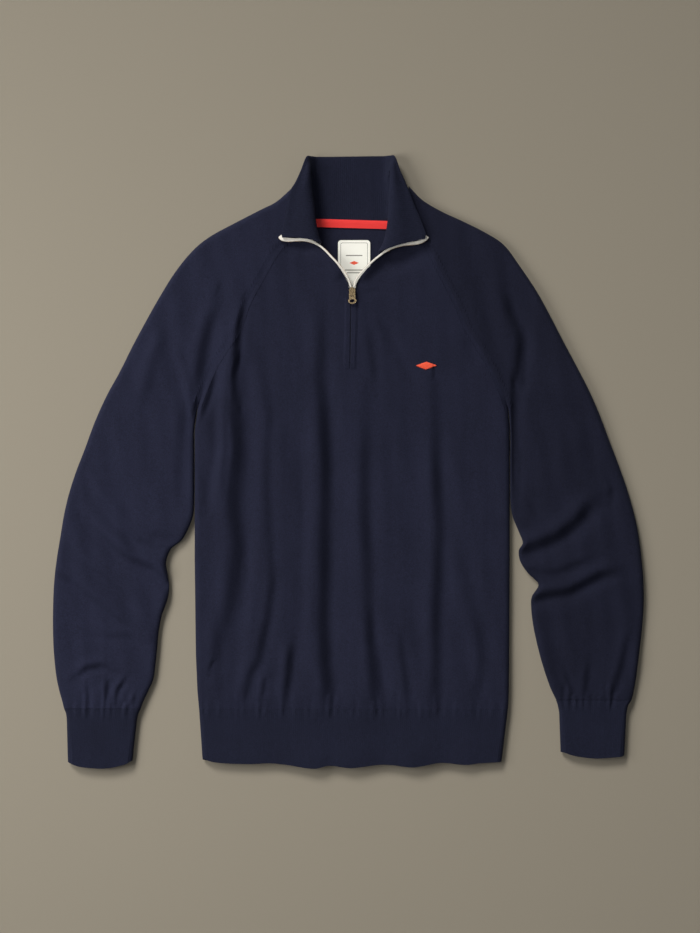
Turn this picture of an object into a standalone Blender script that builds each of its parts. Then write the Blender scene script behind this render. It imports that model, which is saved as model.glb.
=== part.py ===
"""A men's quarter zip sweater in fine knit, laid flat on its back.

The row frame has +X to the wearer's left (the picture's right), +Y towards the collar and
+Z up. All sizes below are in millimetres and are scaled to metres when a mesh is made.
"""

import math

import bmesh
import bpy
from mathutils import Vector

MM = 0.001
# The tables below are drawn from the middle of the chest: this is the middle of the box.
BOX_MIDDLE = (0.0, 1.25, 0.0)

# ---------------------------------------------------------------- cloth sizes
KNIT_WALL = 2.0
RIB_WALL = 2.2
COLLAR_THICK = 3.2
TAPE_THICK = 0.8
WELT_THICK = 1.4
SEAM_GAP = 0.3
LAY_GAP = 0.5

LAID_HEIGHT = 12.0
LOW_HEIGHT = 9.6
LOW_BLEND = (-60.0, 110.0)
BAND_HEIGHT = 9.2
EDGE_TURN = 7.0
LEAST_HEIGHT = 4.9

SEAM_Y = -313.0
SEAM_RELIEF = 0.35
SEAM_BLEND = 34.0

# ---------------------------------------------------------------- sleeves
# One row per section, from the neck to the cuff: the outer edge and the inner edge.
# Rows 0 to 9 end on the raglan seam, the others close under the arm.
UNDERARM_ROW = 9
SLEEVE_LEFT = (
    # outer_x, outer_y, inner_x, inner_y
    (-71.5, 350, -67, 291),
    (-92, 331.8, -86, 277),
    (-111, 322, -98, 261),
    (-144, 305, -114, 233),
    (-177, 287, -130, 203),
    (-199, 269, -141, 173),
    (-221, 242, -155, 149),
    (-241, 210, -170, 126),
    (-257.4, 181, -182, 100),
    (-274.6, 149, -193, 70),
    (-291.6, 115, -198.8, 41),
    (-307.6, 86, -198.8, 10),
    (-322.7, 53, -198.8, -22),
    (-335.7, 18, -198.8, -50),
    (-347.7, -13, -199.6, -72),
    (-356.5, -41, -211.4, -97),
    (-362.6, -67, -226.4, -110),
    (-366.7, -92, -232.7, -127),
    (-370.7, -116, -230, -145),
    (-373.7, -138, -228.6, -160),
    (-375.7, -162, -231.4, -176),
    (-376.5, -188, -238, -194),
    (-376.6, -212, -242, -214),
    (-375.8, -236, -244, -236),
    (-374.2, -256, -246.2, -257),
    (-372, -274, -249, -276),
    (-368.8, -289, -256.5, -293),
    (-365.2, -302, -261.5, -304),
    (-362.6, -312.6, -264.8, -312.6),
)
SLEEVE_RIGHT = (
    (76, 351.5, 78, 291),
    (93, 334, 96, 280),
    (117, 319.5, 106, 264),
    (145, 306.5, 121, 234),
    (172.4, 292.8, 137, 203),
    (197, 276.6, 150, 172),
    (217, 250, 165, 148),
    (239, 217, 179, 124),
    (256, 186, 192, 96),
    (272, 155, 203, 66),
    (288, 125, 207, 36),
    (304.8, 92.4, 207, 6),
    (318.8, 60.4, 207, -22),
    (331, 28, 207, -48),
    (342.8, -3, 208, -68),
    (352.6, -31, 216, -88),
    (360.4, -57, 221, -102),
    (366.2, -81, 216, -112),
    (370.2, -105, 218, -126),
    (372.4, -124, 228, -141),
    (374.4, -147, 241, -155),
    (375, -170, 232.4, -171),
    (374.4, -190, 232, -188),
    (372.6, -213, 235, -211),
    (369.8, -237, 241.0, -238),
    (367.4, -258, 247.4, -261),
    (364.2, -280, 255.2, -284),
    (361.8, -293, 260.2, -295),
    (359.6, -301.6, 263.4, -301.6),
)
# The back raglan seam starts higher on the shoulder than the front one.
BACK_RAGLAN_SHIFT_LEFT = (6, 37)
BACK_RAGLAN_SHIFT_RIGHT = (-8, 39)

EDGE_ANGLES = (0, 30, 60)
SLEEVE_FRONT_CELLS = 12
SLEEVE_BACK_CELLS = 3
CLOSING = {9: 0.35}

# ---------------------------------------------------------------- body
# y and the two side edges below the underarm.
BODY_SIDES = (
    # y, left_x, right_x
    (70, -193, 203),
    (40, -196.2, 204.4),
    (0, -196.3, 204.4),
    (-124, -196.3, 204.4),
    (-244, -194.8, 203.8),
    (-290, -192.8, 203.4),
    (-313, -190.8, 202.4),
)
BODY_ROWS = 17
# One row of front panel per raglan row: where it meets the zip opening, left and right.
OPENING_EDGE = (
    # left_x, left_y, right_x, right_y, bow
    (-30.5, 267.2, 35.4, 258.9, -1.2),
    (-21.7, 258.2, 31.6, 254.0, 1.2),
    (-12.4, 247.0, 20.0, 242.5, 0.6),
    (-2.9, 231.5, 10.4, 229.5, 0.0),
    (-0.2, 219, 8.3, 219, 0.0),
    (-0.9, 188, 7.0, 188, 0.0),
    (-1.6, 155, 5.3, 155, 0.0),
    (-2.0, 126, 4.5, 126, 0.0),
)
SLIT_ROW = 7
SIDE_ANGLES_FRONT = (-38, 0, 35, 65)
SIDE_ANGLES_BACK = (-42, -66)
FRONT_HALF_CELLS = 23
BACK_NECK_GAP = 0.8
BACK_NECK_ROWS = 3
BACK_NECK_STEP = 16.0

# ---------------------------------------------------------------- folds
FOLDS = (
    # name, height of a dip or crest, fall to the left of the course, half width,
    # share left at the start and at the end, course
    ("centre_left", 0.0, 4.0, 14, 0.0, 1.0,
     ((-37, 230), (-38, 110), (-32, 70), (-30, 0), (-31, -100), (-33, -200), (-31, -260), (-25, -312))),
    ("centre_right", 0.0, 2.5, 13, 0.2, 1.0,
     ((22, 85), (20, 0), (20, -60), (22, -120), (25, -190), (29, -250), (34, -312))),
    ("centre_right_low", 0.0, 1.0, 9, 0.0, 1.0, ((24, -170), (29, -250), (34, -312))),
    ("centre_right_side", 0.0, 1.2, 8, 0.0, 1.0, ((36, -225), (40, -270), (44, -312))),
    ("placket_right", 0.0, 1.4, 9, 0.2, 0.2, ((22, 182), (26, 155), (30, 125), (33, 92))),
    ("side_right", 0.0, 3.1, 12, 0.4, 1.0,
     ((107, 105), (110, 40), (111, -40), (114, -90), (113, -140), (110, -200), (111, -260), (112, -312))),
    ("chest_left", 0.0, 3.9, 16, 0.5, 0.3,
     ((-142, 118), (-144, 79), (-142, 45), (-141, 15), (-143, -20), (-144, -60), (-142, -100),
      (-145, -140), (-150, -180), (-160, -215), (-171, -245))),
    ("crest_left_rise", 0.0, -1.8, 8, 0.3, 0.3,
     ((-164, 115), (-165, 79), (-164, 15), (-170, -25), (-177, -60))),
    ("crest_centre_left", 0.0, -1.1, 9, 0.2, 0.5,
     ((-56, 70), (-54, 0), (-53, -80), (-55, -170), (-57, -240), (-60, -290))),
    ("crest_centre", 0.0, -0.8, 11, 0.2, 0.6,
     ((-8, 100), (-2, 10), (-3, -60), (-4, -120), (-2, -180), (-1, -250), (-2, -300))),
    ("crest_low_left", 0.0, -1.3, 10, 0.1, 0.4,
     ((-121, -75), (-125, -130), (-127, -175), (-134, -238), (-143, -290))),
    ("crest_side_left", 3.2, 0.0, 12, 0.3, 0.2,
     ((-149, 215), (-150, 150), (-153, 60), (-153, 20), (-159, -20), (-164, -70), (-166, -130))),
    ("rib_left", 0.0, 1.0, 9, 0.3, 0.2,
     ((-113, 115), (-106, 90), (-101, 60), (-104, 20), (-105, -30), (-101, -100), (-98, -150))),
    ("rib_left_low", 0.0, 1.9, 9, 0.2, 0.8,
     ((-99, -120), (-98, -150), (-103, -195), (-110, -225), (-115, -250), (-126, -270), (-131, -292))),
    ("hem_left", 0.0, 2.4, 8, 0.1, 1.0, ((-73, -222), (-75, -245), (-78, -275), (-83, -312))),
    ("hem_left_side", 0.0, 1.3, 5, 0.0, 1.0, ((-107, -268), (-112, -312))),
    ("hem_far_left", 0.0, 1.1, 10, 0.1, 0.6, ((-170, -190), (-168, -240), (-163, -312))),
    ("hem_middle", 0.0, 1.3, 7.5, 0.2, 1.0, ((62, -205), (66, -240), (71, -270), (76, -312))),
    ("hem_right", 0.0, 1.3, 10, 0.2, 0.6, ((160, -190), (167, -240), (165, -280), (157, -312))),
    ("armpit_left", 0.0, 2.8, 6.5, 0.2, 0.3,
     ((-134, 208), (-140, 175), (-143, 150), (-145, 130), (-148, 108), (-146, 90), (-141, 72))),
    ("raglan_left", 0.0, 3.0, 12, 0.2, 0.5, ((-168, 212), (-176, 180), (-184, 150), (-189, 120), (-194, 85))),
    ("raglan_left_low", 0.0, 1.8, 5, 0.1, 0.3, ((-168, 120), (-177, 88), (-189, 54))),
    ("motif_pull", -1.6, 0.0, 8, 0.1, 0.2, ((36, 192), (50, 170), (60, 148), (70, 125), (82, 103), (92, 88))),
    ("slider_ray_low", -1.0, 0.0, 5, 0.3, 0.1, ((14, 200), (34, 190), (50, 172))),
    ("slider_ray_high", -1.0, 0.0, 4, 0.3, 0.1, ((16, 212), (42, 219))),
    ("raglan_right", -1.4, 0.0, 8, 0.1, 0.2, ((150, 158), (158, 140), (167, 120))),
    ("armpit_right", -7.0, 0.0, 8, 0.1, 0.8,
     ((200, 222), (205, 203), (213, 184), (222, 166), (224, 150), (221, 125), (218, 100))),
    ("opening_left", 4.6, 0.0, 11, 0.8, 0.1, ((-37, 268), (-24, 257), (-13, 243), (-8, 230))),
    ("opening_right", 4.6, 1.6, 9, 0.6, 0.0, ((44, 262), (33, 252), (22, 240), (15, 228))),
    ("under_leaf_left", -1.8, 0.0, 8, 0.2, 0.4, ((-86, 272), (-62, 272), (-46, 268))),
    ("under_leaf_right", -3.4, 0.0, 12, 0.5, 0.4, ((46, 247), (68, 257), (96, 268))),
)
# Folds of the sleeves alone: they end at the sides of the body.
SLEEVE_FOLDS = (
    ("underarm_right", -4.6, 0.0, 9, 0.9, 0.3, ((216, 100), (213, 60), (213, 20), (214, -20), (214, -62))),
    ("underarm_right_wide", -2.2, 0.0, 24, 0.9, 0.4, ((230, 110), (228, 60), (228, 10), (228, -40))),
    ("underarm_left", -3.0, 0.0, 9, 0.2, 0.4, ((-206, 74), (-210, 30), (-211, -20), (-212, -60))),
    ("shoulder_left", 3.2, 0.0, 10, 0.1, 0.2, ((-236, 176), (-252, 136), (-259, 105), (-266, 72))),
    ("underarm_crest", 2.6, 1.0, 5, 0.2, 0.7, ((-231, 157), (-219, 144), (-209, 122), (-203, 95), (-198, 64))),
    ("elbow_left_a", 0.0, 2.6, 8, 0.3, 0.3,
     ((-248, -104), (-270, -98), (-288, -78), (-305, -60), (-322, -42), (-332, -14))),
    ("notch_left", -2.4, 0.0, 7, 0.2, 0.8, ((-252, -92), (-222, -101))),
    ("elbow_left_b", 0.0, 3.4, 9.5, 0.9, 0.3,
     ((-232, -148), (-250, -133), (-275, -123), (-290, -114), (-305, -100), (-320, -85), (-334, -71))),
    ("elbow_left_c", 0.0, 1.9, 7, 0.2, 0.3,
     ((-253, -194), (-270, -181), (-286, -165), (-305, -150), (-320, -138), (-338, -122), (-346, -110))),
    ("elbow_left_d", 0.0, 2.7, 9, 0.3, 0.8,
     ((-262, -222), (-280, -207), (-300, -192), (-315, -180), (-335, -165), (-352, -150), (-370, -142))),
    ("elbow_left_e", 0.0, 1.0, 7, 0.3, 0.2, ((-257, -226), (-280, -219), (-305, -220), (-336, -212))),
    ("forearm_left", 0.0, 2.0, 6.5, 0.3, 0.3, ((-302, -263), (-315, -257), (-333, -260), (-348, -271))),
    ("cuff_left_a", 0.0, 1.4, 4.5, 0.2, 1.0, ((-334, -280), (-333, -313))),
    ("cuff_left_b", 0.0, 2.0, 4.5, 0.2, 1.0, ((-308, -274), (-309, -313))),
    ("cuff_left_c", 0.0, 2.0, 4.5, 0.2, 1.0, ((-283, -272), (-294, -288), (-300, -313))),
    ("cuff_left_d", 0.0, 1.6, 4.5, 0.2, 1.0, ((-272, -296), (-281, -313))),
    ("elbow_right_a", 0.0, 4.0, 13, 0.2, 1.0,
     ((321, -43), (303, -57), (285, -78), (262, -95), (240, -104), (220, -110))),
    ("elbow_right_b", 0.0, 1.2, 8, 0.2, 0.7, ((313, -119), (285, -130), (262, -139), (238, -136))),
    ("elbow_right_c", 0.0, 3.4, 10, 0.1, 1.0,
     ((352, -135), (320, -142), (300, -152), (280, -163), (255, -167), (231, -172))),
    ("elbow_right_d", -1.5, 0.0, 4.5, 0.6, 0.2, ((214, -27), (226, -42), (236, -57), (243, -74))),
    ("elbow_right_e", -1.2, 0.0, 4.5, 0.6, 0.2, ((207, -72), (230, -97))),
    ("elbow_right_f", 0.0, 0.9, 6, 0.2, 0.2, ((321, -8), (332, -34), (331, -60))),
    ("sleeve_right_crest", 1.4, 0.0, 17, 0.2, 0.3, ((306, 52), (284, 24), (270, 0))),
    ("forearm_right", 0.0, 1.7, 8, 0.1, 0.9, ((354, -208), (350, -235), (345, -260), (338, -281), (333, -298))),
    ("cuff_right_a", 0.0, 1.0, 6, 0.2, 0.9, ((304, -252), (301, -276), (298, -296))),
    ("cuff_right_b", 0.0, 1.0, 5, 0.2, 0.9, ((272, -264), (279, -280), (286, -296))),
)
# The tallest value of u * exp(-u * u), so that a fall column reads in millimetres.
FALL_PEAK = 0.4289
MAX_RELIEF = 6.4
BODY_EDGE_LEFT = (-196.0, -201.0)
BODY_EDGE_RIGHT = (203.0, 209.0)

# ---------------------------------------------------------------- hem band and cuffs
HEM_EDGE = (
    # x, y of the front edge, lift of the edge
    (-190, -374, 0.0),
    (-170, -381, 0.6),
    (-128, -383, 1.2),
    (-100, -382, 0.8),
    (-77, -384.4, 1.4),
    (-45, -388.8, 3.4),
    (-24, -385, 2.0),
    (3, -388, 3.0),
    (37, -384, 1.2),
    (56, -384.5, 1.4),
    (83, -387, 3.2),
    (117, -381.5, 0.8),
    (147, -384, 2.2),
    (168, -382, 0.8),
    (205, -380, 0.4),
)
# The sides of each band: share of the way down, left x, right x.
HEM_SIDES = ((0.0, -190.8, 202.2), (1.0, -186.4, 194.0))
HEM_BACK_Y = -379.0
HEM_ROWS = 4
BAND_EASE = 0.3
HEM_FRONT_CELLS = 22
HEM_BACK_CELLS = 6

CUFF_LEFT_EDGE = ((-358, -381), (-340, -387), (-310, -388.8), (-286, -384), (-276, -379))
CUFF_RIGHT_EDGE = ((269, -367), (288, -373), (313, -376), (332, -375), (350, -373.5))
CUFF_SIDES_LEFT = ((0.0, -362.6, -264.8), (0.08, -360.0, -267.6), (0.2, -359.0, -269.6), (1.0, -357.6, -275.4))
CUFF_SIDES_RIGHT = ((0.0, 263.4, 359.6), (0.1, 265.6, 355.0), (0.24, 267.4, 353.0), (1.0, 269.2, 350.2))
RIGHT_CUFF_SEAM_Y = -302.0
CUFF_ROWS = 5
CUFF_FRONT_CELLS = 6
CUFF_BACK_CELLS = 3

# ---------------------------------------------------------------- collar
# One row per section from the zip edge to the middle of the back: the neck seam, the
# roll, the top edge, the bow of the turned leaf, how far the section stands up and how
# much its edge is lifted.
COLLAR_LEFT = (
    # seam_x, seam_y, roll_x, roll_y, edge_x, edge_y, bow, stand, lift
    (-33.6, 273.6, -35.8, 278.4, -84.8, 284.8, 2.4, 1.0, 0.0),
    (-42, 279.5, -38.5, 283, -85.2, 290.5, 1.4, 1.0, 0.0),
    (-51, 286, -40, 289.5, -84.2, 298.5, 0.4, 1.0, 0.0),
    (-58, 291, -42, 298, -82.5, 305, 0.0, 1.0, 0.0),
    (-63, 298, -43.5, 309, -80.5, 315, 0.0, 1.0, 0.4),
    (-66, 307, -45, 324, -78.3, 328, 0.0, 1.0, 1.6),
    (-66, 320, -47, 340, -75.5, 342, 0.0, 1.0, 3.4),
    (-63, 329, -48.3, 354, -67.5, 355.5, 0.0, 0.97, 4.6),
    (-57.5, 331, -49, 365, -61, 370, 0.0, 0.9, 4.4),
    (-52.5, 325, -48.8, 372, -54.2, 387.5, 0.0, 0.7, 2.0),
    (-47, 317, -45.6, 362, -48, 389.2, 0.0, 0.35, 0.0),
    (-39, 309, -39, 354, -40, 389.2, 0.0, 0.0, 0.0),
    (-20, 306, -20, 350, -20, 389.2, 0.0, 0.0, 0.0),
)
COLLAR_RIGHT = (
    (37.3, 263.3, 38.4, 266.6, 96.4, 283.2, 1.8, 1.0, 0.6),
    (47, 271.4, 42.5, 273.5, 97.2, 289.8, 0.8, 1.0, 0.6),
    (58, 279.5, 46.3, 283, 95.2, 296, 0.0, 1.0, 0.4),
    (66.5, 287.3, 48.8, 296.5, 93.2, 301.5, 0.0, 1.0, 0.2),
    (73.2, 296, 50.3, 308, 89.4, 311.5, 0.0, 1.0, 0.0),
    (75.0, 307, 51.5, 324, 83.4, 325, 0.0, 1.0, 0.0),
    (74.6, 320, 52, 340, 76.4, 344, 0.0, 1.0, 0.0),
    (71, 330, 52.8, 355, 69.6, 359.5, 0.0, 0.97, 0.0),
    (66.5, 332, 53.2, 366, 64.4, 371.5, 0.0, 0.9, 0.0),
    (60.5, 326, 52.8, 373, 58.4, 388.3, 0.0, 0.7, 0.0),
    (54.5, 317.5, 50.5, 361, 52, 390, 0.0, 0.35, 0.0),
    (46, 307.2, 44.5, 354, 44, 390, 0.0, 0.0, 0.0),
    (25, 305.2, 25, 350, 25, 389.8, 0.0, 0.0, 0.0),
)
COLLAR_MIDDLE = (3, 304.6, 3, 350, 3, 389.5, 0.0, 0.0, 0.0)
# share of the way seam to roll, share of the way roll to edge, height when it stands up
COLLAR_SECTION = (
    (0.0, 0.0, 12.9),
    (0.45, 0.0, 13.6),
    (0.85, 0.0, 15.6),
    (1.0, 0.0, 18.8),
    (1.0, 0.12, 22.0),
    (1.0, 0.35, 22.4),
    (1.0, 0.7, 19.6),
    (1.0, 1.0, 18.4),
)

# ---------------------------------------------------------------- zip
ZIP_EDGE_LEFT = (
    # x, y, z of the middle of the binding from the collar point to the slider, width
    (-87.6, 287.2, 14.4, 5.0),
    (-85, 284.3, 14.8, 5.6),
    (-81, 282.9, 15.1, 5.2),
    (-76, 282.5, 15.4, 5.0),
    (-69, 282.4, 16.2, 4.1),
    (-62, 282.4, 17.2, 3.8),
    (-57, 282.2, 17.8, 3.7),
    (-52.3, 281.6, 18.3, 4.0),
    (-48, 280.4, 17.9, 3.8),
    (-44, 278.7, 17.2, 3.4),
    (-40, 276.5, 16.7, 2.9),
    (-36, 273.9, 16.8, 2.5),
    (-30, 268.6, 17.2, 2.4),
    (-22.7, 261.0, 17.4, 2.4),
    (-15.5, 253.4, 17.3, 2.4),
    (-9.3, 245.7, 16.7, 2.4),
    (-4.0, 238.1, 15.9, 2.4),
    (-0.5, 231.6, 15.1, 2.4),
    (1.2, 226.8, 14.4, 2.4),
    (2.2, 222.4, 13.8, 2.4),
)
ZIP_EDGE_RIGHT = (
    (99.3, 286.6, 15.4, 4.6),
    (97.2, 284.0, 15.7, 5.0),
    (93.5, 281.4, 16.0, 4.8),
    (88, 279.1, 16.4, 4.7),
    (82, 278.0, 16.9, 4.3),
    (76, 277.3, 17.5, 4.0),
    (70, 276.6, 18.1, 3.9),
    (64, 275.4, 18.5, 3.7),
    (58, 273.6, 18.7, 3.6),
    (52, 271.1, 18.7, 3.5),
    (48, 268.8, 18.2, 3.4),
    (44, 266.2, 17.5, 3.1),
    (40, 263.0, 17.2, 2.7),
    (32.4, 257.0, 17.9, 2.4),
    (24.2, 249.5, 17.4, 2.4),
    (16.9, 241.9, 16.4, 2.4),
    (10.6, 234.4, 15.4, 2.4),
    (8.0, 229.0, 14.6, 2.4),
    (7.1, 225.2, 14.1, 2.4),
    (6.4, 222.4, 13.8, 2.4),
)
ZIP_BAND_THICK = 2.2

WELT_LEFT = (
    # y, outer_x, inner_x
    (210.3, -5.6, 2.4),
    (203, -5.7, 2.3),
    (195, -5.9, 2.2),
    (184, -6.2, 2.1),
    (155, -7.0, 1.7),
    (119, -8.5, 1.0),
)
WELT_RIGHT = (
    (210.3, 3.0, 11.8),
    (203, 2.9, 11.6),
    (195, 2.8, 11.4),
    (184, 2.7, 11.1),
    (155, 2.3, 10.1),
    (119, 1.6, 9.0),
)
CHAIN_TOP = (3.4, 222.0)
CHAIN_BOTTOM = (1.3, 128.0)
CHAIN_HALF = 2.5
CHAIN_Z = (9.2, 11.4)

SLIDER_X = 4.0
SLIDER_WIDTH = 7.4
SLIDER_Y = (211.5, 221.3)
SLIDER_Z = (11.75, 14.8)
BRIDGE_WIDTH = 2.6
BRIDGE_Y = (213.6, 222.4)
BRIDGE_HOLE_Y = (215.9, 221.1)
BRIDGE_HOLE_TOP = 17.2
BRIDGE_TOP = 18.2

HINGE_Y = 219.2
HINGE_Z = 16.0
PULL_THICK = 1.2
PULL_BAR = 0.6
PULL_HALF = 3.9
STIRRUP_HALF = 2.3
STIRRUP_END = 210.4
RING_CENTRE_Y = 205.0
RING_HALF = (5.3, 4.0)
RING_HOLE_HALF = (3.2, 1.95)
RING_SIDES = 20

# ---------------------------------------------------------------- trims
NECK_TAPE = (
    # y at the left end, y at the right end, z of its underside
    (310.2, 307.2, 3.6),
    (306.8, 303.8, 3.6),
    (303.4, 300.4, 3.0),
    (299.8, 297.0, 2.4),
)
NECK_TAPE_X = (-46.0, -20.0, 3.0, 26.0, 53.0)
LABEL_X = (-14.0, 27.0)
LABEL_Y = (222.0, 283.0)
LABEL_CORNER = 4.0
LABEL_Z = KNIT_WALL + SEAM_GAP
MOTIF_CENTRE = (98.0, 123.0)
MOTIF_HALF = (12.5, 4.6)
MOTIF_THICK = 0.9

NAVY = (0.022, 0.026, 0.056, 1.0)
NAVY_RIB = (0.020, 0.024, 0.052, 1.0)
CREAM = (0.82, 0.78, 0.70, 1.0)
RED = (0.83, 0.035, 0.03, 1.0)
LABEL_WHITE = (0.74, 0.75, 0.68, 1.0)
ORANGE = (0.80, 0.09, 0.03, 1.0)
BRASS = (0.36, 0.26, 0.13, 1.0)


# ---------------------------------------------------------------- small tools
def lerp(a, b, share):
    return a + (b - a) * share


def smooth(low, high, value):
    share = min(1.0, max(0.0, (value - low) / (high - low)))
    return share * share * (3.0 - 2.0 * share)


def along(rows, at, column):
    """Reads a column of a table whose first column falls or rises steadily."""
    falling = rows[0][0] > rows[-1][0]
    for first, second in zip(rows, rows[1:]):
        low, high = (second[0], first[0]) if falling else (first[0], second[0])
        if low <= at <= high:
            share = (at - first[0]) / (second[0] - first[0])
            return lerp(first[column], second[column], share)
    nearest = rows[0] if abs(at - rows[0][0]) < abs(at - rows[-1][0]) else rows[-1]
    return nearest[column]


def course_distance(x, y, course):
    """Distance from a polyline, plus on its left, and how far along the nearest place is."""
    lengths = [math.dist(a, b) for a, b in zip(course, course[1:])]
    total = sum(lengths)
    best = (1e9, 1.0, 0.0)
    walked = 0.0
    for (ax, ay), (bx, by), length in zip(course, course[1:], lengths):
        share = ((x - ax) * (bx - ax) + (y - ay) * (by - ay)) / (length * length)
        share = min(1.0, max(0.0, share))
        gap = math.hypot(x - lerp(ax, bx, share), y - lerp(ay, by, share))
        if gap < best[0]:
            left = (bx - ax) * (y - ay) - (by - ay) * (x - ax)
            best = (gap, math.copysign(1.0, left), (walked + share * length) / total)
        walked += length
    return best[0] * best[1], best[2]


def fold_sum(x, y, folds):
    height = 0.0
    for _, dip, fall, half_width, start, end, course in folds:
        gap, share = course_distance(x, y, course)
        if abs(gap) > 2.8 * half_width:
            continue
        taper = lerp(start, 1.0, smooth(0.0, 0.3, share)) * lerp(end, 1.0, smooth(0.0, 0.3, 1 - share))
        across = gap / half_width
        height += (dip - fall / FALL_PEAK * across) * taper * math.exp(-across * across)
    return height


def relief(x, y):
    """Height of the folds over the plain lie of the cloth."""
    beyond_body = max(smooth(*BODY_EDGE_LEFT, x), smooth(*BODY_EDGE_RIGHT, x))
    height = fold_sum(x, y, FOLDS)
    if beyond_body > 0.0:
        height += fold_sum(x, y, SLEEVE_FOLDS) * beyond_body
    near_seam = lerp(SEAM_RELIEF, 1.0, smooth(SEAM_Y, SEAM_Y + SEAM_BLEND, y))
    lowest = max(-MAX_RELIEF, LEAST_HEIGHT - laid_height(y))
    return max(lowest, min(MAX_RELIEF, height)) * near_seam


def laid_height(y):
    lie = lerp(LOW_HEIGHT, LAID_HEIGHT, smooth(LOW_BLEND[0], LOW_BLEND[1], y))
    return lerp(BAND_HEIGHT + 0.4, lie, smooth(SEAM_Y, SEAM_Y + SEAM_BLEND, y))


# ---------------------------------------------------------------- meshes
def material(name, colour, roughness, metallic=0.0):
    made = bpy.data.materials.new(name)
    made.use_nodes = True
    shader = made.node_tree.nodes["Principled BSDF"]
    shader.inputs["Base Color"].default_value = colour
    shader.inputs["Roughness"].default_value = roughness
    shader.inputs["Metallic"].default_value = metallic
    return made


def add_object(name, points, faces, finish, round_shaded=True, origin=(0.0, 0.0, 0.0)):
    """Makes one closed mesh object from points in millimetres."""
    centre = Vector(origin)
    mesh = bpy.data.meshes.new(name)
    mesh.from_pydata([(Vector(point) - centre) * MM for point in points], [], faces)
    sheet = bmesh.new()
    sheet.from_mesh(mesh)
    bmesh.ops.recalc_face_normals(sheet, faces=sheet.faces)
    bmesh.ops.triangulate(sheet, faces=sheet.faces)
    sheet.to_mesh(mesh)
    sheet.free()
    for polygon in mesh.polygons:
        polygon.use_smooth = round_shaded
    mesh.materials.append(finish)
    made = bpy.data.objects.new(name, mesh)
    made.location = (centre - Vector(BOX_MIDDLE)) * MM
    bpy.context.scene.collection.objects.link(made)
    return made


def cloth(name, outer, inner, cells, finish):
    """Joins an outer and an inner layer of the same cells with a rim round every edge."""
    keys = list(outer)
    place = {key: index for index, key in enumerate(keys)}
    points = [outer[key] for key in keys] + [inner[key] for key in keys]
    shift = len(keys)
    faces = []
    sides = {}
    for cell in cells:
        ring = [place[key] for key in cell]
        faces.append(ring)
        faces.append([index + shift for index in reversed(ring)])
        for a, b in zip(ring, ring[1:] + ring[:1]):
            sides[(a, b)] = True
    for a, b in sides:
        if (b, a) not in sides:
            faces.append([b, a, a + shift, b + shift])
    return add_object(name, points, faces, finish)


def wall_from(outer, facing, thickness):
    return {key: point - facing[key] * thickness for key, point in outer.items()}


# ---------------------------------------------------------------- laid edges
def turned(side, inward, height, angle, turn):
    """A point on the turned edge of a laid piece, and the way its outside faces."""
    half = height / 2.0
    across = math.cos(math.radians(angle))
    rise = math.sin(math.radians(angle))
    point = side + inward * (turn * (1.0 - across)) + Vector((0, 0, half * (1.0 + rise)))
    facing = inward * (-across / turn) + Vector((0, 0, rise / half))
    return point, facing.normalized()


def mixed(first, second, share):
    point = first[0].lerp(second[0], share)
    facing = first[1].lerp(second[1], share)
    return point, facing.normalized()


UP = Vector((0, 0, 1))
DOWN = Vector((0, 0, -1))


def front_point(x, y, share=1.0):
    return Vector((x, y, laid_height(y) + relief(x, y) * share))


# ---------------------------------------------------------------- sleeves
def sleeve(name, rows, back_shift, gap, finish):
    outer, facing, cells = {}, {}, []
    last = 0
    for index, (ox, oy, ix, iy) in enumerate(rows):
        closed = 1.0 if index > UNDERARM_ROW else CLOSING.get(index, 0.0)
        inner_side = Vector((ix, iy, 0))
        outer_side = Vector((ox, oy, 0))
        if index <= UNDERARM_ROW:
            inner_side += (outer_side - inner_side).normalized() * gap
        inward = (outer_side - inner_side).normalized()
        width = (outer_side - inner_side).length
        turn = min(EDGE_TURN, 0.3 * width)
        height = laid_height((oy + iy) / 2.0)
        line = []
        for step, angle in enumerate(EDGE_ANGLES):
            laid = turned(inner_side, inward, height, angle, turn)
            flat_plan = inner_side + inward * (turn * step / len(EDGE_ANGLES))
            flat = (front_point(flat_plan.x, flat_plan.y), UP)
            rise = math.sin(math.radians(angle))
            laid[0].z += relief(laid[0].x, laid[0].y) * rise
            line.append(mixed(flat, laid, closed))
        for step in range(SLEEVE_FRONT_CELLS + 1):
            plan = inner_side + inward * lerp(turn, width - turn, step / SLEEVE_FRONT_CELLS)
            line.append((Vector((plan.x, plan.y, height + relief(plan.x, plan.y))), UP))
        for angle in (60, 30, 0, -30, -60):
            laid = turned(outer_side, -inward, height, angle, turn)
            laid[0].z += relief(laid[0].x, laid[0].y) * max(0.0, math.sin(math.radians(angle)))
            line.append(laid)
        start = outer_side - inward * turn
        fade = 1.0 - min(1.0, index / UNDERARM_ROW)
        back_end = inner_side + Vector((back_shift[0], back_shift[1], 0)) * fade
        closed_end = inner_side + inward * turn
        open_end = back_end + (start - back_end).normalized() * turn
        end = open_end.lerp(closed_end, closed)
        for step in range(SLEEVE_BACK_CELLS + 1):
            line.append((start.lerp(end, step / SLEEVE_BACK_CELLS), DOWN))
        for step, angle in ((2, -60), (1, -30), (0, 0)):
            laid = turned(inner_side, inward, height, angle, turn)
            flat = (back_end.lerp(open_end, step / 3.0), DOWN)
            line.append(mixed(flat, laid, closed))
        last = len(line) - 1
        for column, (point, way) in enumerate(line):
            if index > UNDERARM_ROW and column == last:
                continue
            outer[(index, column)] = point
            facing[(index, column)] = way
    for index in range(len(rows) - 1):
        for column in range(last):
            corners = ((index, column), (index, column + 1), (index + 1, column + 1), (index + 1, column))
            ring = []
            for row, place in corners:
                key = (row, 0) if row > UNDERARM_ROW and place == last else (row, place)
                if key not in ring:
                    ring.append(key)
            cells.append(ring)
    return cloth(name, outer, wall_from(outer, facing, KNIT_WALL), cells, finish)


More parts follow.
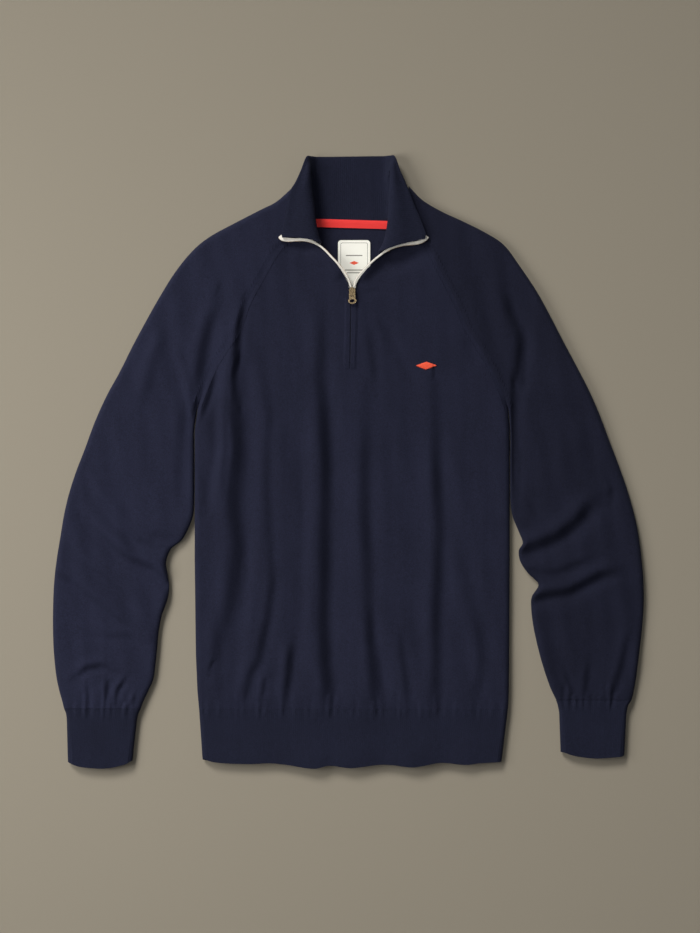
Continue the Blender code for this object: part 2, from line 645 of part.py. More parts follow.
# ---------------------------------------------------------------- body panels
def body_row_ys():
    top = SLEEVE_LEFT[UNDERARM_ROW][3]
    bottom = SEAM_Y + SEAM_GAP / 2.0
    ys = [40.0]
    for step in range(1, BODY_ROWS):
        ys.append(lerp(40.0, bottom, step / (BODY_ROWS - 1)))
    return [y for y in ys if y < top]


def body_ends(row, ys):
    """The left and right end of a body row, and how far its edges are turned under."""
    if row <= UNDERARM_ROW:
        left = Vector((SLEEVE_LEFT[row][2], SLEEVE_LEFT[row][3], 0))
        right = Vector((SLEEVE_RIGHT[row][2], SLEEVE_RIGHT[row][3], 0))
        return left, right, CLOSING.get(row, 0.0)
    y = ys[row - UNDERARM_ROW - 1]
    left = Vector((along(BODY_SIDES, y, 1), y, 0))
    right = Vector((along(BODY_SIDES, y, 2), y, 0))
    return left, right, 1.0


def half_front_row(side, target, closed, bow):
    """Points of one front row from the side seam or raglan to the middle."""
    inward = (target - side).normalized()
    width = (target - side).length
    turn = min(EDGE_TURN, 0.3 * width)
    line = []
    for step, angle in enumerate(SIDE_ANGLES_FRONT):
        plan = side + inward * (SEAM_GAP / 2.0 + turn * step / len(SIDE_ANGLES_FRONT))
        flat = (front_point(plan.x, plan.y), UP)
        laid = turned(side, inward, laid_height(side.y), angle, turn)
        laid[0].z += relief(laid[0].x, laid[0].y) * max(0.0, math.sin(math.radians(angle)))
        line.append(mixed(flat, laid, closed))
    across = Vector((inward.y, -inward.x, 0))
    if across.y > 0:
        across = -across
    for step in range(FRONT_HALF_CELLS + 1):
        share = step / FRONT_HALF_CELLS
        plan = side + inward * lerp(turn, width, share)
        plan += across * (bow * 4.0 * share * (1.0 - share))
        line.append((front_point(plan.x, plan.y), UP))
    return line


def front_panel(finish):
    ys = body_row_ys()
    total = UNDERARM_ROW + 1 + len(ys)
    outer, facing, cells = {}, {}, []
    columns = len(SIDE_ANGLES_FRONT) + FRONT_HALF_CELLS
    for row in range(total):
        left, right, closed = body_ends(row, ys)
        if row <= SLIT_ROW:
            lx, ly, rx, ry, bow = OPENING_EDGE[row]
        else:
            lx, rx, bow = OPENING_EDGE[SLIT_ROW][0], OPENING_EDGE[SLIT_ROW][2], 0.0
            middle = (lx + rx) / 2.0
            share = (middle - left.x) / (right.x - left.x)
            ly = ry = lerp(left.y, right.y, share)
        halves = (
            ("left", left, Vector((lx, ly, 0))),
            ("right", right, Vector((rx, ry, 0))),
        )
        for half, side, target in halves:
            for column, (point, way) in enumerate(half_front_row(side, target, closed, bow)):
                outer[(half, row, column)] = point
                facing[(half, row, column)] = way
    for row in range(total - 1):
        for column in range(columns):
            for half in ("left", "right"):
                ring = [(half, row, column), (half, row, column + 1),
                        (half, row + 1, column + 1), (half, row + 1, column)]
                cells.append(ring if half == "left" else ring[::-1])
        if row >= SLIT_ROW:
            cells.append([("left", row, columns), ("right", row, columns),
                          ("right", row + 1, columns), ("left", row + 1, columns)])
    return cloth("front_panel", outer, wall_from(outer, facing, KNIT_WALL), cells, finish)


def back_neck():
    """The back neck edge, just below the seam of the collar."""
    rows = COLLAR_LEFT[9:] + (COLLAR_MIDDLE,) + COLLAR_RIGHT[:8:-1]
    return [(row[0], row[1] - BACK_NECK_GAP) for row in rows]


def back_panel(finish):
    ys = body_row_ys()
    neck = back_neck()
    total = UNDERARM_ROW + 1 + len(ys)
    outer, facing, cells = {}, {}, []
    count = 0
    for row in range(total):
        left, right, closed = body_ends(row, ys)
        fade = 1.0 - min(1.0, row / UNDERARM_ROW)
        left_seam = left + Vector((BACK_RAGLAN_SHIFT_LEFT[0], BACK_RAGLAN_SHIFT_LEFT[1], 0)) * fade
        right_seam = right + Vector((BACK_RAGLAN_SHIFT_RIGHT[0], BACK_RAGLAN_SHIFT_RIGHT[1], 0)) * fade
        near_neck = max(0.0, 1.0 - row / BACK_NECK_ROWS)
        height = laid_height(left.y)
        line = []
        turn = EDGE_TURN
        for step, angle in enumerate(SIDE_ANGLES_BACK):
            laid = turned(left, Vector((1, 0, 0)), height, angle, turn)
            flat = (left_seam + Vector((SEAM_GAP + step * turn / 2.0, 0, 0)), DOWN)
            line.append(mixed(flat, laid, closed))
        from_side = left_seam.lerp(left, closed) + Vector((turn, 0, 0))
        to_side = right_seam.lerp(right, closed) - Vector((turn, 0, 0))
        for neck_x, neck_y in neck:
            plan = from_side.lerp(to_side, (neck_x - neck[0][0]) / (neck[-1][0] - neck[0][0]))
            below_neck = Vector((neck_x, neck_y - BACK_NECK_STEP * row, 0))
            line.append((plan.lerp(below_neck, near_neck), DOWN))
        for step, angle in reversed(list(enumerate(SIDE_ANGLES_BACK))):
            laid = turned(right, Vector((-1, 0, 0)), height, angle, turn)
            flat = (right_seam - Vector((SEAM_GAP + step * turn / 2.0, 0, 0)), DOWN)
            line.append(mixed(flat, laid, closed))
        count = len(line)
        for column, (point, way) in enumerate(line):
            outer[(row, column)] = point
            facing[(row, column)] = way
    for row in range(total - 1):
        for column in range(count - 1):
            cells.append([(row, column), (row + 1, column), (row + 1, column + 1), (row, column + 1)])
    return cloth("back_panel", outer, wall_from(outer, facing, KNIT_WALL), cells, finish)


# ---------------------------------------------------------------- bands
def band(name, seam_y, sides, front_edge, back_y, counts, finish):
    """A laid rib tube below a seam: the hem band or a cuff."""
    rows, front_cells, back_cells = counts
    outer, facing, cells = {}, {}, []
    top_y = seam_y - SEAM_GAP / 2.0
    turn = EDGE_TURN * 0.8
    count = 0
    for row in range(rows + 1):
        down = row / rows
        left_x = along(sides, down, 1)
        right_x = along(sides, down, 2)
        near = 1.0 - smooth(0.0, BAND_EASE, down)
        height = lerp(BAND_HEIGHT, laid_height(seam_y), near)
        line = []

        def edge_y(x):
            return lerp(top_y, along(front_edge, x, 1), down)

        def lift(x):
            raised = along(front_edge, x, 2) if len(front_edge[0]) > 2 else 0.8
            return raised * smooth(0.35, 1.0, down) + relief(x, seam_y) * near

        def side_y(x, angle):
            share = (1.0 + math.sin(math.radians(angle))) / 2.0
            return lerp(lerp(top_y, back_y, down), edge_y(x), share)

        for step in range(front_cells + 1):
            x = lerp(left_x + turn, right_x - turn, step / front_cells)
            line.append((Vector((x, edge_y(x), height + lift(x))), UP))
        for angle in (60, 30, 0, -30, -60):
            side = Vector((right_x, 0, 0))
            point, way = turned(side, Vector((-1, 0, 0)), height, angle, turn)
            point.y = side_y(point.x, angle)
            line.append((point, way))
        for step in range(back_cells + 1):
            x = lerp(right_x - turn, left_x + turn, step / back_cells)
            line.append((Vector((x, lerp(top_y, back_y, down), 0)), DOWN))
        for angle in (-60, -30, 0, 30, 60):
            side = Vector((left_x, 0, 0))
            point, way = turned(side, Vector((1, 0, 0)), height, angle, turn)
            point.y = side_y(point.x, angle)
            line.append((point, way))
        count = len(line)
        for column, (point, way) in enumerate(line):
            outer[(row, column)] = point
            facing[(row, column)] = way
    for row in range(rows):
        for column in range(count):
            after = (column + 1) % count
            cells.append([(row, column), (row, after), (row + 1, after), (row + 1, column)])
    return cloth(name, outer, wall_from(outer, facing, RIB_WALL), cells, finish)


# ---------------------------------------------------------------- collar
def collar_section(row):
    sx, sy, rx, ry, ex, ey, bow, stand, lift = row
    across = Vector((ey - ry, rx - ex, 0)).normalized()
    if across.y < 0:
        across = -across
    line = []
    for to_roll, to_edge, height in COLLAR_SECTION:
        x = lerp(lerp(sx, rx, to_roll), ex, to_edge)
        y = lerp(lerp(sy, ry, to_roll), ey, to_edge)
        plan = Vector((x, y, 0)) + across * (bow * 4.0 * to_edge * (1.0 - to_edge))
        flat = COLLAR_THICK / 2.0
        line.append(Vector((plan.x, plan.y, lerp(flat, height + lift * to_edge, stand))))
    return line


def collar(finish):
    rows = list(COLLAR_LEFT) + [COLLAR_MIDDLE] + list(reversed(COLLAR_RIGHT))
    grid = [collar_section(row) for row in rows]
    outer, inner, cells = {}, {}, []
    last_row, last = len(grid) - 1, len(COLLAR_SECTION) - 1
    for row in range(last_row + 1):
        for column in range(last + 1):
            along_neck = grid[min(row + 1, last_row)][column] - grid[max(row - 1, 0)][column]
            up_collar = grid[row][min(column + 1, last)] - grid[row][max(column - 1, 0)]
            facing = along_neck.cross(up_collar).normalized()
            if rows[row][7] < 0.02:
                facing = UP
            middle = grid[row][column]
            outer[(row, column)] = middle + facing * (COLLAR_THICK / 2.0)
            inner[(row, column)] = middle - facing * (COLLAR_THICK / 2.0)
    for row in range(last_row):
        for column in range(last):
            cells.append([(row, column), (row + 1, column), (row + 1, column + 1), (row, column + 1)])
    return cloth("collar", outer, inner, cells, finish)


# ---------------------------------------------------------------- zip and trims
def binding(name, course, finish):
    points, faces = [], []
    for index, (x, y, z, width) in enumerate(course):
        before = Vector(course[max(index - 1, 0)][:3])
        after = Vector(course[min(index + 1, len(course) - 1)][:3])
        run = (after - before).normalized()
        side = run.cross(UP).normalized() * (width / 2.0)
        rise = UP * (ZIP_BAND_THICK / 2.0)
        centre = Vector((x, y, z))
        points += [centre - side - rise, centre + side - rise, centre + side + rise, centre - side + rise]
    for index in range(len(course) - 1):
        base = index * 4
        for corner in range(4):
            after = (corner + 1) % 4
            faces.append([base + corner, base + after, base + 4 + after, base + 4 + corner])
    end = (len(course) - 1) * 4
    faces.append([0, 3, 2, 1])
    faces.append([end, end + 1, end + 2, end + 3])
    return add_object(name, points, faces, finish)


def laid_strip(name, rows, thickness, finish, across=2):
    """A strip that follows the front panel a little above it."""
    outer, inner, cells = {}, {}, []
    for row, (y, left_x, right_x) in enumerate(rows):
        for column in range(across + 1):
            x = lerp(left_x, right_x, column / across)
            base = front_point(x, y) + UP * LAY_GAP
            outer[(row, column)] = base + UP * thickness
            inner[(row, column)] = base
    for row in range(len(rows) - 1):
        for column in range(across):
            cells.append([(row, column), (row, column + 1), (row + 1, column + 1), (row + 1, column)])
    return cloth(name, outer, inner, cells, finish)


def neck_tape(finish):
    outer, inner, cells = {}, {}, []
    last = len(NECK_TAPE_X) - 1
    for row, (left_y, right_y, z) in enumerate(NECK_TAPE):
        for column, x in enumerate(NECK_TAPE_X):
            y = lerp(left_y, right_y, column / last)
            inner[(row, column)] = Vector((x, y, z))
            outer[(row, column)] = Vector((x, y, z + TAPE_THICK))
    for row in range(len(NECK_TAPE) - 1):
        for column in range(last):
            cells.append([(row, column), (row, column + 1), (row + 1, column + 1), (row + 1, column)])
    return cloth("neck_tape", outer, inner, cells, finish)


def plate(name, outline, low, high, finish, origin=(0.0, 0.0, 0.0)):
    count = len(outline)
    points = [Vector((x, y, low)) for x, y in outline] + [Vector((x, y, high)) for x, y in outline]
    faces = [list(range(count))[::-1], [index + count for index in range(count)]]
    for index in range(count):
        after = (index + 1) % count
        faces.append([index, after, after + count, index + count])
    return add_object(name, points, faces, finish, round_shaded=False, origin=origin)


def rounded_box(low_x, high_x, low_y, high_y, corner, steps=3):
    outline = []
    for cx, cy, start in (
        (high_x - corner, high_y - corner, 0),
        (low_x + corner, high_y - corner, 90),
        (low_x + corner, low_y + corner, 180),
        (high_x - corner, low_y + corner, 270),
    ):
        for step in range(steps + 1):
            angle = math.radians(start + 90.0 * step / steps)
            outline.append((cx + corner * math.cos(angle), cy + corner * math.sin(angle)))
    return outline


def oval(centre_x, centre_y, half_x, half_y):
    outline = []
    for step in range(RING_SIDES):
        angle = 2.0 * math.pi * step / RING_SIDES
        outline.append((centre_x + half_x * math.cos(angle), centre_y + half_y * math.sin(angle)))
    return outline


def chain(finish):
    (tx, ty), (bx, by) = CHAIN_TOP, CHAIN_BOTTOM
    outline = [(tx - CHAIN_HALF, ty), (bx - CHAIN_HALF, by), (bx + CHAIN_HALF, by), (tx + CHAIN_HALF, ty)]
    return plate("zip_chain", outline, CHAIN_Z[0], CHAIN_Z[1], finish)


def neck_label(finish):
    low_x, high_x = LABEL_X
    low_y, high_y = LABEL_Y
    outline = rounded_box(low_x, high_x, low_y, high_y, LABEL_CORNER)
    return plate("neck_label", outline, LABEL_Z, LABEL_Z + TAPE_THICK, finish)


def chest_motif(finish):
    """A plain lozenge, embroidered on the chest."""
    centre_x, centre_y = MOTIF_CENTRE
    half_x, half_y = MOTIF_HALF
    outer, inner, cells = {}, {}, []
    steps = (-1.0, -0.5, 0.0, 0.5, 1.0)
    for row, share in enumerate(steps):
        reach = half_y * (1.0 - 0.86 * abs(share))
        for column, side in enumerate((-1.0, 0.0, 1.0)):
            x = centre_x + half_x * share
            y = centre_y + reach * side
            base = front_point(x, y) + UP * LAY_GAP
            outer[(row, column)] = base + UP * MOTIF_THICK
            inner[(row, column)] = base
    for row in range(len(steps) - 1):
        for column in range(2):
            cells.append([(row, column), (row + 1, column), (row + 1, column + 1), (row, column + 1)])
    return cloth("chest_motif", outer, inner, cells, finish)


def combine(base, tool, operation):
    """Adds or cuts a tool solid, then takes the tool away."""
    modifier = base.modifiers.new(operation.lower(), "BOOLEAN")
    modifier.operation = operation
    modifier.solver = "EXACT"
    modifier.object = tool
    depsgraph = bpy.context.evaluated_depsgraph_get()
    shaped = bpy.data.meshes.new_from_object(base.evaluated_get(depsgraph))
    base.modifiers.clear()
    base.data = shaped
    bpy.data.objects.remove(tool, do_unlink=True)


def box(name, xs, ys, zs, finish, origin=(0.0, 0.0, 0.0)):
    outline = [(xs[0], ys[0]), (xs[1], ys[0]), (xs[1], ys[1]), (xs[0], ys[1])]
    return plate(name, outline, zs[0], zs[1], finish, origin)


def slider(finish):
    half = SLIDER_WIDTH / 2.0
    outline = rounded_box(SLIDER_X - half, SLIDER_X + half, SLIDER_Y[0], SLIDER_Y[1], 2.0)
    body = plate("zip_slider", outline, SLIDER_Z[0], SLIDER_Z[1], finish)
    bridge_x = (SLIDER_X - BRIDGE_WIDTH / 2.0, SLIDER_X + BRIDGE_WIDTH / 2.0)
    arch = box("arch", bridge_x, BRIDGE_Y, (SLIDER_Z[1] - 1.0, BRIDGE_TOP), finish)
    combine(body, arch, "UNION")
    hole_x = (SLIDER_X - half - 2.0, SLIDER_X + half + 2.0)
    hole = box("hole", hole_x, BRIDGE_HOLE_Y, (SLIDER_Z[1], BRIDGE_HOLE_TOP), finish)
    combine(body, hole, "DIFFERENCE")
    return body


def pull(finish):
    hinge = (SLIDER_X, HINGE_Y, HINGE_Z)
    low = HINGE_Z - PULL_THICK / 2.0
    high = HINGE_Z + PULL_THICK / 2.0
    top_y = HINGE_Y + PULL_BAR
    shank = rounded_box(
        SLIDER_X - PULL_HALF, SLIDER_X + PULL_HALF, RING_CENTRE_Y, top_y, 1.0)
    body = plate("zip_pull", shank, low, high, finish, hinge)
    ring = plate("ring", oval(SLIDER_X, RING_CENTRE_Y, *RING_HALF), low, high, finish, hinge)
    combine(body, ring, "UNION")
    stirrup = box(
        "stirrup",
        (SLIDER_X - STIRRUP_HALF, SLIDER_X + STIRRUP_HALF),
        (STIRRUP_END, HINGE_Y - PULL_BAR),
        (low - 1.0, high + 1.0),
        finish,
        hinge,
    )
    combine(body, stirrup, "DIFFERENCE")
    eye = plate(
        "eye", oval(SLIDER_X, RING_CENTRE_Y, *RING_HOLE_HALF), low - 1.0, high + 1.0, finish, hinge)
    combine(body, eye, "DIFFERENCE")
    return body


def build():
    for item in list(bpy.data.objects):
        bpy.data.objects.remove(item, do_unlink=True)
    back_panel(material("navy_knit_back", NAVY, 0.9))
    front_panel(material("navy_knit_front", NAVY, 0.9))
    sleeve("sleeve_left", SLEEVE_LEFT, BACK_RAGLAN_SHIFT_LEFT, SEAM_GAP / 2.0,
           material("navy_knit_left", NAVY, 0.9))
    sleeve("sleeve_right", SLEEVE_RIGHT, BACK_RAGLAN_SHIFT_RIGHT, SEAM_GAP / 2.0,
           material("navy_knit_right", NAVY, 0.9))
    band("hem_band", SEAM_Y, HEM_SIDES, HEM_EDGE, HEM_BACK_Y,
         (HEM_ROWS, HEM_FRONT_CELLS, HEM_BACK_CELLS), material("navy_rib_hem", NAVY_RIB, 0.9))
    band("cuff_left", SEAM_Y, CUFF_SIDES_LEFT, CUFF_LEFT_EDGE, -380.0,
         (CUFF_ROWS, CUFF_FRONT_CELLS, CUFF_BACK_CELLS), material("navy_rib_left", NAVY_RIB, 0.9))
    band("cuff_right", RIGHT_CUFF_SEAM_Y, CUFF_SIDES_RIGHT, CUFF_RIGHT_EDGE, -369.0,
         (CUFF_ROWS, CUFF_FRONT_CELLS, CUFF_BACK_CELLS), material("navy_rib_right", NAVY_RIB, 0.9))
    collar(material("navy_rib_collar", NAVY_RIB, 0.9))
    laid_strip("welt_left", WELT_LEFT, WELT_THICK, material("navy_welt_left", NAVY, 0.85))
    laid_strip("welt_right", WELT_RIGHT, WELT_THICK, material("navy_welt_right", NAVY, 0.85))
    binding("zip_edge_left", ZIP_EDGE_LEFT, material("cream_tape_left", CREAM, 0.7))
    binding("zip_edge_right", ZIP_EDGE_RIGHT, material("cream_tape_right", CREAM, 0.7))
    chain(material("cream_chain", CREAM, 0.6))
    slider(material("brass_slider", BRASS, 0.4, 1.0))
    pull(material("brass_pull", BRASS, 0.4, 1.0))
    neck_tape(material("red_tape", RED, 0.8))
    neck_label(material("label_white", LABEL_WHITE, 0.8))
    chest_motif(material("orange_thread", ORANGE, 0.6))


build()
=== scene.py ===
"""The looks of a quarter zip sweater, laid flat: thin closed shells of knit, rib and tape.

Sizes and tables are in millimetres, but cut sizes, lights and the camera are in metres. Tables are measured
from the middle of the chest. BOX_MIDDLE is the model's origin, which is
within 1 mm of the middle of the garment's box.
"""

import math
import random

import bpy
import numpy as np
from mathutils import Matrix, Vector


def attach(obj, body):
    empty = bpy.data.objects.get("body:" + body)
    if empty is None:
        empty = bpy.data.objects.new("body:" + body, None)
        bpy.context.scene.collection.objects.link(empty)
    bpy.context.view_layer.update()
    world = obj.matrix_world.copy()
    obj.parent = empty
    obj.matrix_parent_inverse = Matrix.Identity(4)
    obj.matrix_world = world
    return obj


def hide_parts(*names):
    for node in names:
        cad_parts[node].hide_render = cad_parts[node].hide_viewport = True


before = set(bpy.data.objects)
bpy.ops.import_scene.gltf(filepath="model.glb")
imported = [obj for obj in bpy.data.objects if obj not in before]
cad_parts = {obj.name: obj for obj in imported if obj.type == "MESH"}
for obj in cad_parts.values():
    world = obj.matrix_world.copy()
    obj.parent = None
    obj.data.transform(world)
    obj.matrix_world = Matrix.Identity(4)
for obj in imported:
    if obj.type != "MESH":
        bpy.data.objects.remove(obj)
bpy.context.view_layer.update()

MM = 0.001
BOX_MIDDLE = np.array((0.0, 1.25, 0.0))
GARMENT = "garment"
SEED = 11

# ---------------- cloth sizes
KNIT_WALL = 1.7
RIB_WALL = 1.9
COLLAR_THICK = 3.2
SEAM_GAP = 0.06
LAID_HEIGHT = 12.0
LOW_HEIGHT = 9.6
# The lie of the cloth drops from one height to the other between these y.
LOW_BLEND = (-60.0, 110.0)
BAND_HEIGHT = 9.2
# How far in from a laid edge the cloth turns over, and the most of its width that this may take.
EDGE_TURN = 7.0
MOST_TURN = 0.3
# The edges of a band turn over in this share of EDGE_TURN.
BAND_TURN = 0.8
BAND_TALL = 70.0
LEAST_HEIGHT = 4.9
SEAM_Y = -313.0
# The cloth stands this far above a band at its seam, and lies flatter over SEAM_BLEND above it.
SEAM_STEP = 0.4
SEAM_RELIEF = 0.35
SEAM_BLEND = 34.0
MAX_RELIEF = 6.4
WANDER_WAVES = 14
WANDER_HIGH = 0.16

UNDERARM_ROW = 9
SLEEVE_LEFT = (
    # outer_x, outer_y, inner_x, inner_y
    (-71.5, 350, -67, 291),
    (-92, 331.8, -86, 277),
    (-111, 322, -98, 261),
    (-144, 305, -114, 233),
    (-177, 287, -130, 203),
    (-199, 269, -141, 173),
    (-221, 242, -155, 149),
    (-241, 210, -170, 126),
    (-257.4, 181, -182, 100),
    (-274.6, 149, -193, 70),
    (-291.6, 115, -197, 41),
    (-307.6, 86, -197, 10),
    (-322.7, 53, -197, -22),
    (-335.7, 18, -197.2, -50),
    (-347.7, -13, -199.6, -72),
    (-356.5, -41, -211.4, -97),
    (-362.6, -67, -226.4, -110),
    (-366.7, -92, -232.7, -127),
    (-370.7, -116, -230, -145),
    (-373.7, -138, -228.6, -160),
    (-375.7, -162, -231.4, -176),
    (-376.5, -188, -238, -194),
    (-376.6, -212, -242, -214),
    (-375.8, -236, -244, -236),
    (-374.2, -256, -246.2, -257),
    (-372, -274, -249, -276),
    (-368.8, -289, -256.5, -293),
    (-365.2, -302, -261.5, -304),
    (-362.6, -312.6, -264.8, -312.6),
)
SLEEVE_RIGHT = (
    (76, 351.5, 78, 291),
    (93, 334, 96, 280),
    (117, 319.5, 106, 264),
    (145, 306.5, 121, 234),
    (172.4, 292.8, 137, 203),
    (197, 276.6, 150, 172),
    (217, 250, 165, 148),
    (239, 217, 179, 124),
    (256, 186, 192, 96),
    (272, 155, 203, 66),
    (288, 125, 205, 36),
    (304.8, 92.4, 205, 6),
    (318.8, 60.4, 205, -22),
    (331, 28, 205.2, -48),
    (342.8, -3, 208, -68),
    (352.6, -31, 216, -88),
    (360.4, -57, 221, -102),
    (366.2, -81, 216, -112),
    (370.2, -105, 218, -126),
    (372.4, -124, 228, -141),
    (374.4, -147, 241, -155),
    (375, -170, 232.4, -171),
    (374.4, -190, 232, -188),
    (372.6, -213, 235, -211),
    (369.8, -237, 241, -238),
    (367.4, -258, 247.4, -261),
    (364.2, -280, 255.2, -284),
    (361.8, -293, 260.2, -295),
    (359.6, -301.6, 263.4, -301.6),
)
# At the neck the back's raglan seams lie this far in and up from the front's.
BACK_RAGLAN_SHIFT_LEFT = (6, 37)
BACK_RAGLAN_SHIFT_RIGHT = (-8, 39)
UNDERARM_Y = 70.0
LEVEL_Y = 40.0
BODY_ROW_STEP = 30.0
BODY_SIDES = (
    # y, left_x, right_x
    (70, -193, 203),
    (40, -196.2, 204.4),
    (0, -196.3, 204.4),
    (-124, -196.3, 204.4),
    (-244, -194.8, 203.8),
    (-290, -192.8, 203.4),
    (-313, -190.8, 202.4),
)
OPENING_EDGE = (
    # left_x, left_y, right_x, right_y, bow
    (-30.5, 267.2, 35.4, 258.9, -1.2),
    (-21.7, 258.2, 31.6, 254, 1.2),
    (-12.4, 247, 20, 242.5, 0.6),
    (-2.9, 231.5, 10.4, 229.5, 0),
    (-0.2, 219, 8.3, 219, 0),
    (-0.9, 188, 7, 188, 0),
    (-1.6, 155, 5.3, 155, 0),
    (-2, 126, 4.5, 126, 0),
)
SLIT_ROW = 7
# The back follows the neck over its first rows; each lies this far below the last.
BACK_NECK_ROWS = 3
BACK_NECK_STEP = 16.0

FOLDS = (
    # name, height (below 0 for a dip), fall to the left of the course, half width,
    # share left at the start and at the end, course
    ("centre_left", 0, 4, 14, 0, 1,
     ((-37, 230), (-38, 110), (-32, 70), (-30, 0), (-31, -100), (-33, -200), (-31, -260), (-25, -312))),
    ("centre_right", 0, 2.5, 13, 0.2, 1,
     ((22, 85), (20, 0), (20, -60), (22, -120), (25, -190), (29, -250), (34, -312))),
    ("centre_right_low", 0, 1, 9, 0, 1, ((24, -170), (29, -250), (34, -312))),
    ("centre_right_side", 0, 1.2, 8, 0, 1, ((36, -225), (40, -270), (44, -312))),
    ("placket_right", 0, 1.4, 9, 0.2, 0.2, ((22, 182), (26, 155), (30, 125), (33, 92))),
    ("side_right", 0, 3.1, 12, 0.4, 1,
     ((107, 105), (110, 40), (111, -40), (114, -90), (113, -140), (110, -200), (111, -260), (112, -312))),
    ("chest_left", 0, 3.9, 16, 0.5, 0.3,
     ((-142, 118), (-144, 79), (-142, 45), (-141, 15), (-143, -20), (-144, -60), (-142, -100),
      (-145, -140), (-150, -180), (-160, -215), (-171, -245))),
    ("crest_left_rise", 0, -1.8, 8, 0.3, 0.3,
     ((-164, 115), (-165, 79), (-164, 15), (-170, -25), (-177, -60))),
    ("crest_centre_left", 0, -1.1, 9, 0.2, 0.5,
     ((-56, 70), (-54, 0), (-53, -80), (-55, -170), (-57, -240), (-60, -290))),
    ("crest_centre", 0, -0.8, 11, 0.2, 0.6,
     ((-8, 100), (-2, 10), (-3, -60), (-4, -120), (-2, -180), (-1, -250), (-2, -300))),
    ("crest_low_left", 0, -1.3, 10, 0.1, 0.4,
     ((-121, -75), (-125, -130), (-127, -175), (-134, -238), (-143, -290))),
    ("crest_side_left", 3.2, 0, 12, 0.3, 0.2,
     ((-149, 215), (-150, 150), (-153, 60), (-153, 20), (-159, -20), (-164, -70), (-166, -130))),
    ("rib_left", 0, 1, 9, 0.3, 0.2,
     ((-113, 115), (-106, 90), (-101, 60), (-104, 20), (-105, -30), (-101, -100), (-98, -150))),
    ("rib_left_low", 0, 1.9, 9, 0.2, 0.8,
     ((-99, -120), (-98, -150), (-103, -195), (-110, -225), (-115, -250), (-126, -270), (-131, -292))),
    ("hem_left", 0, 2.4, 8, 0.1, 1, ((-73, -222), (-75, -245), (-78, -275), (-83, -312))),
    ("hem_left_side", 0, 1.3, 5, 0, 1, ((-107, -268), (-112, -312))),
    ("hem_far_left", 0, 1.1, 10, 0.1, 0.6, ((-170, -190), (-168, -240), (-163, -312))),
    ("hem_middle", 0, 1.3, 7.5, 0.2, 1, ((62, -205), (66, -240), (71, -270), (76, -312))),
    ("hem_right", 0, 1.3, 10, 0.2, 0.6, ((160, -190), (167, -240), (165, -280), (157, -312))),
    ("armpit_left", 0, 2.8, 6.5, 0.2, 0.3,
     ((-134, 208), (-140, 175), (-143, 150), (-145, 130), (-148, 108), (-146, 90), (-141, 72))),
    ("raglan_left", 0, 3, 12, 0.2, 0.5,
     ((-168, 212), (-176, 180), (-184, 150), (-189, 120), (-194, 85))),
    ("raglan_left_low", 0, 1.8, 5, 0.1, 0.3, ((-168, 120), (-177, 88), (-189, 54))),
    ("motif_pull", -1.6, 0, 8, 0.1, 0.2,
     ((36, 192), (50, 170), (60, 148), (70, 125), (82, 103), (92, 88))),
    ("slider_ray_low", -1, 0, 5, 0.3, 0.1, ((14, 200), (34, 190), (50, 172))),
    ("slider_ray_high", -1, 0, 4, 0.3, 0.1, ((16, 212), (42, 219))),
    ("raglan_right", -1.4, 0, 8, 0.1, 0.2, ((150, 158), (158, 140), (167, 120))),
    ("armpit_right", -7, 0, 8, 0.1, 0.8,
     ((200, 222), (205, 203), (213, 184), (222, 166), (224, 150), (221, 125), (218, 100))),
    ("opening_left", 4.6, 0, 11, 0.8, 0.1, ((-37, 268), (-24, 257), (-13, 243), (-8, 230))),
    ("opening_right", 4.6, 1.6, 9, 0.6, 0, ((44, 262), (33, 252), (22, 240), (15, 228))),
    ("under_leaf_left", -1.8, 0, 8, 0.2, 0.4, ((-86, 272), (-62, 272), (-46, 268))),
    ("under_leaf_right", -3.4, 0, 12, 0.5, 0.4, ((46, 247), (68, 257), (96, 268))),
)
